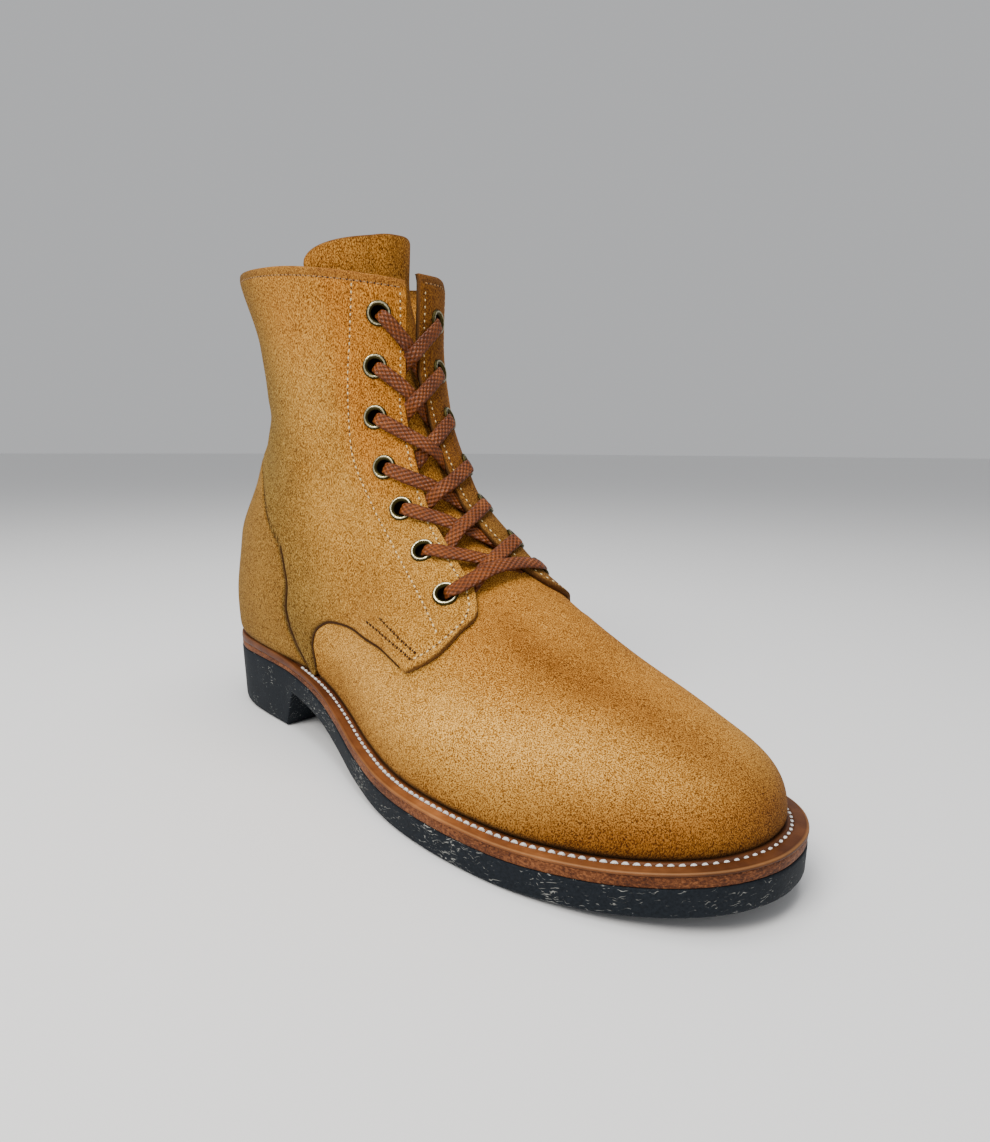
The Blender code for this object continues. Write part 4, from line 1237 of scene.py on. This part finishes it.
def add_quarter(name, sign):
    around, up = quarter_grid()
    gaps = quarter_gaps(around, up)
    edge = EDGE_DARK * quarter_edge(around, gaps)
    # Painted shade in the grooves of the seams
    groove = GROOVE_SHADE_DARKNESS * np.maximum.reduce(quarter_grooves(around, gaps))
    fields = {"edge": edge, "groove": groove, **quarter_tones(sign, around, up)}
    lift = quarter_height(sign, around, up)
    place = settled(sign, around, up)
    obj = add_panel(name, QUARTER_SUEDE, sign * around, place, lift, QUARTER_THICK, fields)
    punch_eyelets(obj, sign)
    as_piece(obj, "suede")


def punch_eyelets(obj, sign):
    """Cuts the eyelet holes through a quarter."""
    cutters = []
    for around, up in EYELETS[sign]:
        bpy.ops.mesh.primitive_cylinder_add(vertices=PUNCH_SIDES, radius=EYELET_BORE * MM, depth=PUNCH_DEPTH)
        cutter = bpy.context.object
        cutter.matrix_world = placed(*eyelet_seat(sign * around, up))
        cutters.append(cutter)
    bpy.ops.object.select_all(action="DESELECT")
    for cutter in cutters:
        cutter.select_set(True)
    bpy.context.view_layer.objects.active = cutters[0]
    bpy.ops.object.join()
    punch = obj.modifiers.new("punch", "BOOLEAN")
    punch.operation = "DIFFERENCE"
    punch.solver = "EXACT"
    punch.object = cutters[0]
    graph = bpy.context.evaluated_depsgraph_get()
    mesh = bpy.data.meshes.new_from_object(obj.evaluated_get(graph))
    obj.modifiers.remove(punch)
    obj.data = mesh
    bpy.data.objects.remove(cutters[0])


def counter_grid():
    """Grid of the heel counter's outer half, from the welt up and from its front edge to the back seam."""
    front = EDGE_STEPS / COUNTER_LENGTH
    across = np.concatenate([front, np.linspace(front[-1], 1, COUNTER_LINES)[1:]])
    welt, top = np.zeros(len(across)), smooth(COUNTER_TOP, across)
    up = banded(welt, top, EDGE_STEPS / MM_UP, EDGE_STEPS[::-1] / MM_UP, COUNTER_ROWS)
    edge = smooth(COUNTER_EDGE, up)
    return edge + (BACK_SEAM - edge) * across, up


def with_mirror(half, sign=1):
    """A grid of the outer half, followed by its mirror image beyond the back seam."""
    return np.concatenate([half, sign * half[:, -2::-1]], axis=1)


def add_counter():
    half, up = counter_grid()
    groove = bell(line_distance(half, up, COUNTER_LINE) / SEAM_GROOVE)
    foot = bell(up * MM_UP / HEEL_SHADOW)
    base = quarter_lift(half) + COUNTER_STEP
    lift = with_mirror(base - (base + COUNTER_SUNK) * groove - COUNTER_FOOT_DEPTH * foot)
    # Painted shade in the seam's groove and along the counter's foot
    dark = with_mirror(np.maximum(GROOVE_SHADE_DARKNESS * groove, FOOT_SHADOW_DARKNESS * foot))
    around, up = with_mirror(half, -1), with_mirror(up)
    lift = lift + relief(around, up)
    # Painted shade over the whole counter, stronger towards the back seam
    shade = COUNTER_SHADE + (1 - COUNTER_SHADE) * eased(np.abs(around), *COUNTER_SHADE_AROUND)
    fields = {"groove": dark, "shade": shade, "burnish_and_shade": np.full(up.shape, COUNTER_SATURATED_SHADE)}
    obj = add_panel("heel_counter", QUARTER_SUEDE, around, up, lift, COUNTER_THICK, fields)
    as_piece(obj, "suede", "counter")


def tongue_grid():
    """Grid of the tongue, with the height of its crown above the collar by column."""
    columns = np.linspace(-TONGUE_HALF, TONGUE_HALF, TONGUE_LINES)
    at_collar = quarter_columns(columns, np.ones(len(columns)))
    across = at_collar / at_collar[-1]
    crown = TONGUE_RISE * (1 - TONGUE_SKEW * across) * (1 - across**2) ** TONGUE_ROUND + TONGUE_EDGE_RISE
    foot = np.full(len(columns), TONGUE_FOOT)
    up = banded(foot, 1 + crown, [0.0], EDGE_STEPS[::-1] / MM_UP, TONGUE_ROWS)
    return quarter_columns(np.broadcast_to(columns, up.shape), up), up, crown


def add_tongue():
    around, up, crown = tongue_grid()
    top_gap = (1 + crown - up) * MM_UP
    facing_gap = (np.abs(around) - smooth(FACING, up)) * MM_AROUND
    width = (1 - eased(around, *TONGUE_LEAN_OUTER)) * (1 - eased(-around, *TONGUE_LEAN_INNER))
    lean = eased(up, *TONGUE_LEAN_UP) * width
    lift = -TONGUE_DEPTH - TONGUE_LEAN * lean - rolled(top_gap, *TONGUE_ROLL)
    shadow = FACING_SHADOW_DARK * bell(facing_gap / FACING_SHADOW) * eased(up, *FACING_SHADOW_UP)
    # Painted shade over the whole tongue down in the throat, and beside the facings
    fields = {
        "edge": EDGE_DARK * bell(top_gap / TONGUE_EDGE), "groove": shadow,
        "warm": np.full(up.shape, TONGUE_WARMTH), "burnish_and_shade": np.full(up.shape, TONGUE_SATURATED_SHADE),
    }
    obj = add_panel("tongue_leather", QUARTER_SUEDE, around, up, lift, TONGUE_THICK, fields)
    as_piece(obj, "suede", "tongue")


# Eyelets and laces

def eyelet_seat(around, up):
    """Centre of an eyelet on the quarter's face, and the face's normal."""
    point = on_last(np.array([around]), np.array([up]))
    normal = outward(point)[0]
    return point[0] + normal * quarter_lift(around), normal


def placed(point, normal):
    """Matrix that stands a piece's own Z axis on a point of the leather."""
    turn = Vector(normal).to_track_quat("Z", "Y").to_matrix().to_4x4()
    return Matrix.Translation(Vector(to_metres(point))) @ turn


def eyelet_mesh():
    mesh = bpy.data.meshes.new("eyelet")
    edges = [(i, i + 1) for i in range(len(EYELET_SECTION) - 1)]
    mesh.from_pydata([(r * MM, 0.0, h * MM) for r, h in EYELET_SECTION], edges, [])
    mesh.materials.append(BRASS)
    return mesh


def add_eyelets():
    """Rolled brass rings, each a half section turned about its axis."""
    mesh = eyelet_mesh()
    for side, sign in (("outer", 1), ("inner", -1)):
        for number, (around, up) in enumerate(EYELETS[sign], start=1):
            made = bpy.data.objects.new(f"brass_{side}_{number}", mesh)
            bpy.context.scene.collection.objects.link(made)
            made.matrix_world = placed(*eyelet_seat(sign * around, up))
            turn = made.modifiers.new("turn", "SCREW")
            turn.axis = "Z"
            turn.steps = EYELET_STEPS
            turn.render_steps = EYELET_STEPS
            turn.use_merge_vertices = True
            turn.merge_threshold = EYELET_MERGE
            turn.use_smooth_shade = True
            as_piece(made, "antique_brass", f"eyelet_{side}_{number}")


def through(points, count):
    """Smooth open curve through points, evenly spread between them."""
    points = np.asarray(points, float)
    ends = np.concatenate([[2 * points[0] - points[1]], points, [2 * points[-1] - points[-2]]])
    at = np.linspace(0, len(points) - 1, count)
    i = np.minimum(at.astype(int), len(points) - 2)
    t = (at - i)[:, None]
    a, b, c, d = ends[i], ends[i + 1], ends[i + 2], ends[i + 3]
    return 0.5 * (2 * b + (c - a) * t + (2 * a - 5 * b + 4 * c - d) * t**2 + (3 * b - a - 3 * c + d) * t**3)


def lengths_along(path):
    """Length of a 3D path up to each of its points."""
    return np.concatenate([[0], np.cumsum(np.linalg.norm(np.diff(path, axis=0), axis=1))])


def unit(vectors):
    return vectors / np.linalg.norm(vectors, axis=1)[:, None]


def squared_off(wave, power):
    return np.sign(wave) * np.abs(wave) ** power


def tube_faces(rows):
    """Faces of a closed tube of rings of point numbers, with both ends capped."""
    sides = quads_of(np.concatenate([rows, rows[:, :1]], axis=1)).tolist()
    return sides + [rows[0][::-1].tolist(), rows[-1].tolist()]


def ribbon(path, normal, width, thick, section):
    """Points, faces and map of a flat band along a path, facing the normals."""
    along = unit(np.gradient(path, axis=0))
    side = np.cross(normal, along)
    for _ in range(RIBBON_EVENING):
        side[1:-1] = (side[:-2] + 2 * side[1:-1] + side[2:]) / 4
    side = unit(side - along * (side * along).sum(1)[:, None])
    face = np.cross(along, side)
    turn = np.linspace(0, 2 * math.pi, section, endpoint=False)
    flat = squared_off(np.cos(turn), RIBBON_SQUARE[0]) / 2 * width[:, None]
    raised = squared_off(np.sin(turn), RIBBON_SQUARE[1]) * thick / 2
    rings = path[:, None] + side[:, None] * flat[..., None] + face[:, None] * raised[:, None]
    faces = tube_faces(np.arange(len(path) * section).reshape(-1, section))
    uv = np.stack(np.broadcast_arrays(flat, lengths_along(path)[:, None]), -1)
    return rings.reshape(-1, 3), faces, uv.reshape(-1, 2)


def lace_strand(keys):
    """A flat lace through keys of (around, up, lift, width share)."""
    keys = through(keys, LACE_STEPS)
    point = on_last(keys[:, 0], keys[:, 1])
    normal = outward(point)
    path = point + normal * keys[:, 2:3]
    return ribbon(path, normal, LACE_WIDTH * keys[:, 3], LACE_THICK, LACE_SECTION)


def joined(parts):
    """Several (points, faces, map) as one."""
    points, faces, maps, count = [], [], [], 0
    for part_points, part_faces, part_map in parts:
        points.append(part_points)
        faces += [[i + count for i in face] for face in part_faces]
        maps.append(part_map)
        count += len(part_points)
    return np.concatenate(points), faces, np.concatenate(maps)


def strand_keys(number, sign, on_top):
    """Keys of one strand: out of an eyelet, over its facing, across the gap and under the other facing."""
    start, below = EYELETS[sign][number], EYELETS[-sign][number - 1]
    end_up = start[1] + STRAND_DROP * (below[1] - start[1])
    end = -smooth(FACING, end_up)
    edge = (start[0] - smooth(FACING, start[1] - STRAND_EDGE_DROP)) / (start[0] - end)
    crossing, tuck = STRAND_OVER if on_top else STRAND_UNDER
    on_facing = [(edge * share, lift, 1.0) for share, lift in STRAND_ON_FACING]
    across = [((1 + edge) / 2, crossing, 1.0), (STRAND_TUCK_AT, tuck, 1.0)]
    share, lift, width = np.array([*STRAND_START, *on_facing, *across, *STRAND_END]).T
    around = sign * (start[0] + (end - start[0]) * share)
    up = start[1] + (end_up - start[1]) * share
    return np.column_stack([around, up, quarter_lift(start[0]) + lift, width])


def bar_keys():
    """Keys of the lowest bar: out of the outer eyelet, over the throat and into the inner one."""
    outer, inner = OUTER_EYELETS[0], INNER_EYELETS[0]
    share, rise, lift, width = LACE_BAR.T
    around = outer[0] * (1 - share) - inner[0] * share
    up = outer[1] * (1 - share) + inner[1] * share + rise
    return np.column_stack([around, up, quarter_lift(outer[0]) + lift, width])


def add_laces():
    points, faces, uv = lace_strand(bar_keys())
    as_piece(add_mesh("lace_1", points, faces, LACE, uv), "lace_cord", "lace_bar")
    for number, inner_on_top in enumerate(TOP_FROM_INNER, start=1):
        strands = [lace_strand(strand_keys(number, sign, (sign < 0) == inner_on_top)) for sign in (1, -1)]
        points, faces, uv = joined(strands)
        obj = add_mesh(f"lace_{number + 1}", points, faces, LACE, uv)
        as_piece(obj, "lace_cord", f"lace_cross_{number + 1}")


# Stitches

def spread(path, pitch):
    """Points along a 3D path at an even pitch, and its directions there."""
    length = lengths_along(path)
    at = np.arange(pitch / 2, length[-1], pitch)
    here = np.stack([np.interp(at, length, path[:, k]) for k in range(3)], -1)
    ahead = np.stack([np.interp(at + LOOK_AHEAD, length, path[:, k]) for k in range(3)], -1)
    return here, unit(ahead - here)


def stitch_parts(here, along, normal, size, slant=0.0):
    """Small spindles of thread, each bedded at both ends."""
    length, width, height = size
    station, girth, sag = STITCH_SHAPE.T
    along = unit(along + unit(np.cross(normal, along)) * slant)
    side = np.cross(normal, along)
    turn = np.linspace(0, 2 * math.pi, STITCH_SIDES, endpoint=False)
    faces = tube_faces(np.arange(len(station) * STITCH_SIDES).reshape(-1, STITCH_SIDES))
    for p, a, s, n in zip(here, along, side, normal):
        spine = p + np.outer(station * length / 2, a) + np.outer(sag * height, n)
        ring = np.outer(np.cos(turn), s * width / 2) + np.outer(np.sin(turn), n * height / 2)
        points = spine[:, None] + girth[:, None, None] * ring
        yield points.reshape(-1, 3), faces, np.zeros((len(station) * STITCH_SIDES, 2))


def row_on_quarter(line, sign):
    """3D path on a quarter's face of a stitch row given as (around, up)."""
    line = through(line, ROW_CURVE_POINTS)
    share = np.linspace(0, 1, len(line))
    fine = np.linspace(0, 1, ROW_PATH_POINTS)
    around = np.interp(fine, share, line[:, 0])
    up = np.interp(fine, share, line[:, 1])
    return leather(sign * around, settled(sign, around, up), quarter_height(sign, around, up))


def add_stitch_rows(name, material, rows, size, rise=0.0, shift=0.0):
    """Stitches along rows of both quarters, raised and shifted along their row where that is asked."""
    parts = []
    for line in rows:
        for sign in (1, -1):
            here, along = spread(row_on_quarter(line, sign), STITCH_PITCH)
            normal = outward(here)
            parts += stitch_parts(here + normal * rise + along * shift, along, normal, size)
    points, faces, _ = joined(parts)
    as_piece(add_mesh(name, points, faces, material), "suede")


def add_upper_stitches():
    """Threads of the upper's rows, and dark marks of painted shade for the needle holes between them."""
    add_stitch_rows("stitches_cream", CREAM_THREAD, [FACING_ROW, TAB_ROW, BACK_ROW], CREAM_STITCH)
    add_stitch_rows("stitches_tan", TAN_THREAD, [COLLAR_ROW], TAN_STITCH)
    add_stitch_rows("stitches_dark", DARK_THREAD, CORNER_ROWS, DARK_STITCH, rise=DARK_STITCH_RISE)
    rows = (*SEWN_ROWS, *CORNER_ROWS)
    add_stitch_rows("stitch_holes", NEEDLE_HOLE_SHADE, rows, NEEDLE_HOLE, shift=STITCH_PITCH / 2)


def add_seam_shade_strips():
    """Thin dark strips of painted shade at the bottom of the seams where panels meet edge to edge."""
    parts = []
    for line in (COUNTER_LINE, CLOSED_SEAM):
        around, up = line.T
        width = np.full(len(line), CREASE_WIDTH)
        rise = CREASE_RISE + CREASE_BACK_RISE * eased(around, *CREASE_BACK_AROUND)
        for sign in (1, -1):
            path = leather(sign * around, up, quarter_height(sign, around, up) + rise)
            parts.append(ribbon(path, outward(path), width, CREASE_THICK, CREASE_SIDES))
    # The strips take the dark thread's colour as painted shade
    points, faces, _ = joined(parts)
    as_piece(add_mesh("seam_crease_shade", points, faces, DARK_THREAD), "suede")


# Sole

def sole_stations():
    """Positions from heel to toe, close together at both ends, with the heel's breast among them."""
    share = (1 - np.cos(np.linspace(0, 1, SOLE_STATIONS) * math.pi)) / 2
    x = SOLE_HEEL[0] + (SOLE_TOE[0] - SOLE_HEEL[0]) * share
    breast = [HEEL_BREAST_X - BREAST_SLOPE / 2, HEEL_BREAST_X + BREAST_SLOPE / 2]
    return np.sort(np.concatenate([x, breast]))


def sole_ring():
    """Edge of the sole as one ring: toe to heel along the outer side, then back along the inner side."""
    outer, inner = sides_of(SOLE)
    x = sole_stations()
    outer_y = np.interp(x, outer[:, 0], outer[:, 1])
    inner_y = np.interp(x, inner[:, 0], inner[:, 1])
    back = np.column_stack([x, outer_y])[::-1]
    return np.concatenate([back, np.column_stack([x, inner_y])[1:-1]])


RING = sole_ring()
RING_X = RING[:, 0]
RING_TOE, RING_HEEL = RING_X.argmax(), RING_X.argmin()


def swept_ring(name, material, profile, fields=None, caps=True):
    """A ring of rows from its top down, each the sole's edge moved in by an inset and set at its heights."""
    grid = np.array([np.column_stack([moved_in(RING, inset), height]) for inset, height in profile])
    rows, count = grid.shape[:2]
    numbers = np.arange(rows * count).reshape(rows, count)
    faces = quads_of(np.concatenate([numbers, numbers[:, :1]], axis=1)).tolist()
    if caps:
        faces += [face[::-1] for face in zipped(numbers[0])] + zipped(numbers[-1])
    closed = np.concatenate([grid, grid[:, :1]], axis=1)
    uv = lengths_map(closed).reshape(rows, count + 1, 2)[:, :-1].reshape(-1, 2)
    fields = {field: np.repeat(values, count) for field, values in (fields or {}).items()}
    return add_mesh(name, grid.reshape(-1, 3), faces, material, uv, fields)


def zipped(ring):
    """Faces across a ring, joining each point of its outer side to the one opposite."""
    count = len(ring)
    pairs = [(ring[(RING_TOE + i) % count], ring[(RING_TOE - i) % count]) for i in range(count // 2 + 1)]
    faces = []
    for (a, b), (c, d) in zip(pairs[:-1], pairs[1:]):
        faces.append(list(dict.fromkeys([a, c, d, b])))
    return [face for face in faces if len(face) > 2]


def breast_share(x):
    """0 under the heel block, 1 in front of it, and between them along its sloping breast."""
    return np.clip((x - HEEL_BREAST_X) / BREAST_SLOPE + 0.5, 0, 1)


def under_heel(x):
    """Height of the sole's underside: the heel block is on the floor, with its back edge cut up."""
    bevel = np.clip((HEEL_BEVEL_X - x) / (HEEL_BEVEL_X - SOLE_HEEL[0]), 0, 1)
    return rubber_bottom(x) * breast_share(x) + HEEL_BEVEL * bevel


def add_outsole():
    top = rubber_bottom(RING_X) + RUBBER_THICK
    foot = under_heel(RING_X)
    inset = HEEL_INSET * (1 - breast_share(RING_X))
    profile = [(edge, top - drop) for edge, drop in RUBBER_TOP_EDGE]
    side_top, side_foot = profile[-1][1], foot + RUBBER_FOOT_EDGE[0][1]
    profile += [(inset * share, side_top + (side_foot - side_top) * share) for share in RUBBER_SIDE]
    profile += [(inset + edge, foot + rise) for edge, rise in RUBBER_FOOT_EDGE]
    as_piece(swept_ring("rubber_sole", rubber_material(), profile), "sole_rubber", "outsole")


def add_midsole():
    foot = rubber_bottom(RING_X) + RUBBER_THICK
    top = welt_top(RING_X) - smooth(WELT_SIDE, RING_X)
    profile = [(inset, top + (foot - top) * share + offset) for inset, share, offset in MIDSOLE_EDGE]
    as_piece(swept_ring("midsole_edge", midsole_material(), profile), "midsole_leather", "midsole")


def add_welt():
    """Welt strip: a stitch channel next to the upper, a fine line and a rounded outer edge."""
    width = smooth(WELT_WIDTH, RING_X)
    top, side = welt_top(RING_X), smooth(WELT_SIDE, RING_X)
    stitched = eased(RING_X, *WELT_CHANNEL_X)
    rim = WELT_RIM[0][0] + WELT_CHANNEL_CLEAR
    profile = [(np.maximum(width - out, rim), top + height * stitched) for out, height, _ in WELT_CHANNEL]
    profile += [(inset, top + height * side) for inset, height, _ in WELT_RIM]
    dark = np.array([row[2] for row in (*WELT_CHANNEL, *WELT_RIM)])
    # Painted shade where the darkness is above 0, a painted highlight where it is below 0
    fields = {"groove": np.maximum(dark, 0), "rim_highlight": np.maximum(-dark, 0)}
    obj = swept_ring("welt_strip", welt_material(), profile, fields, caps=False)
    as_piece(obj, "welt_leather", "welt")


def add_welt_stitches():
    """Row of white stitches in the welt's channel, from one side of the heel round the toe to the other."""
    loop = moved_in(RING, smooth(WELT_WIDTH, RING_X) - WELT_STITCH_LINE)
    path = np.roll(np.column_stack([loop, welt_top(loop[:, 0])]), -RING_HEEL, axis=0)
    path = path[path[:, 0] > WELT_STITCH_FROM]
    here, along = spread(path, WELT_STITCH_PITCH)
    normal = np.broadcast_to(np.array([0.0, 0.0, 1.0]), here.shape)
    points, faces, _ = joined(stitch_parts(here, along, normal, WELT_STITCH, WELT_STITCH_SLANT))
    as_piece(add_mesh("stitches_welt", points, faces, WHITE_THREAD), "welt_leather")


def dress_insole():
    """The insole keeps its solid shape and gets a leather finish."""
    materials = frame["nodes"]["insole"].data.materials
    materials.clear()
    materials.append(insole_material())


# Studio

def add_camera():
    a, e, r = (math.radians(angle) for angle in (CAMERA_AZIMUTH, CAMERA_ELEVATION, CAMERA_ROLL))
    back = Vector((math.sin(a) * math.cos(e), -math.cos(a) * math.cos(e), math.sin(e)))
    right = Vector((math.cos(a), math.sin(a), 0.0))
    up = back.cross(right)
    right, up = right * math.cos(r) + up * math.sin(r), up * math.cos(r) - right * math.sin(r)
    data = bpy.data.cameras.new("photo_camera")
    made = bpy.data.objects.new("photo_camera", data)
    bpy.context.scene.collection.objects.link(made)
    turn = Matrix((right, up, back)).transposed().to_4x4()
    made.matrix_world = Matrix.Translation(Vector(to_metres(CAMERA_AT))) @ turn
    width, height = PHOTO_SIZE
    data.sensor_width = SENSOR
    data.lens = CAMERA_FOCAL / height * SENSOR
    data.shift_x = (width / 2 - CAMERA_CENTRE[0]) / height
    data.shift_y = (CAMERA_CENTRE[1] - height / 2) / height
    data.clip_start = CLIP_START
    bpy.context.scene.camera = made


def add_light(name, at, size, power, colour):
    data = bpy.data.lights.new(name, "AREA")
    data.size = size
    data.energy = power
    data.color = colour
    made = bpy.data.objects.new(name, data)
    bpy.context.scene.collection.objects.link(made)
    made.location = at
    made.rotation_euler = (Vector(at) - Vector(LIT_POINT)).to_track_quat("Z", "Y").to_euler()


def add_studio():
    bpy.ops.mesh.primitive_plane_add(size=FLOOR_SIZE, location=FLOOR_AT)
    floor = bpy.context.object
    floor.name = "floor"
    floor.data.materials.append(plain_material("studio_floor", FLOOR_COLOUR, FLOOR_ROUGHNESS))
    for light in LIGHTS:
        add_light(*light)
    world = bpy.data.worlds.new("studio")
    bpy.context.scene.world = world
    world.use_nodes = True
    background = world.node_tree.nodes["Background"]
    background.inputs["Color"].default_value = SKY_COLOUR
    background.inputs["Strength"].default_value = SKY_STRENGTH


def clear_defaults():
    for old in list(bpy.data.objects):
        if old.name in ("Cube", "Light", "Camera"):
            bpy.data.objects.remove(old, do_unlink=True)


def main():
    clear_defaults()
    add_vamp()
    add_quarter("quarter_outer", 1)
    add_quarter("quarter_inner", -1)
    add_counter()
    add_tongue()
    add_eyelets()
    add_laces()
    add_upper_stitches()
    add_seam_shade_strips()
    add_outsole()
    add_midsole()
    add_welt()
    add_welt_stitches()
    dress_insole()
    add_camera()
    add_studio()


main()
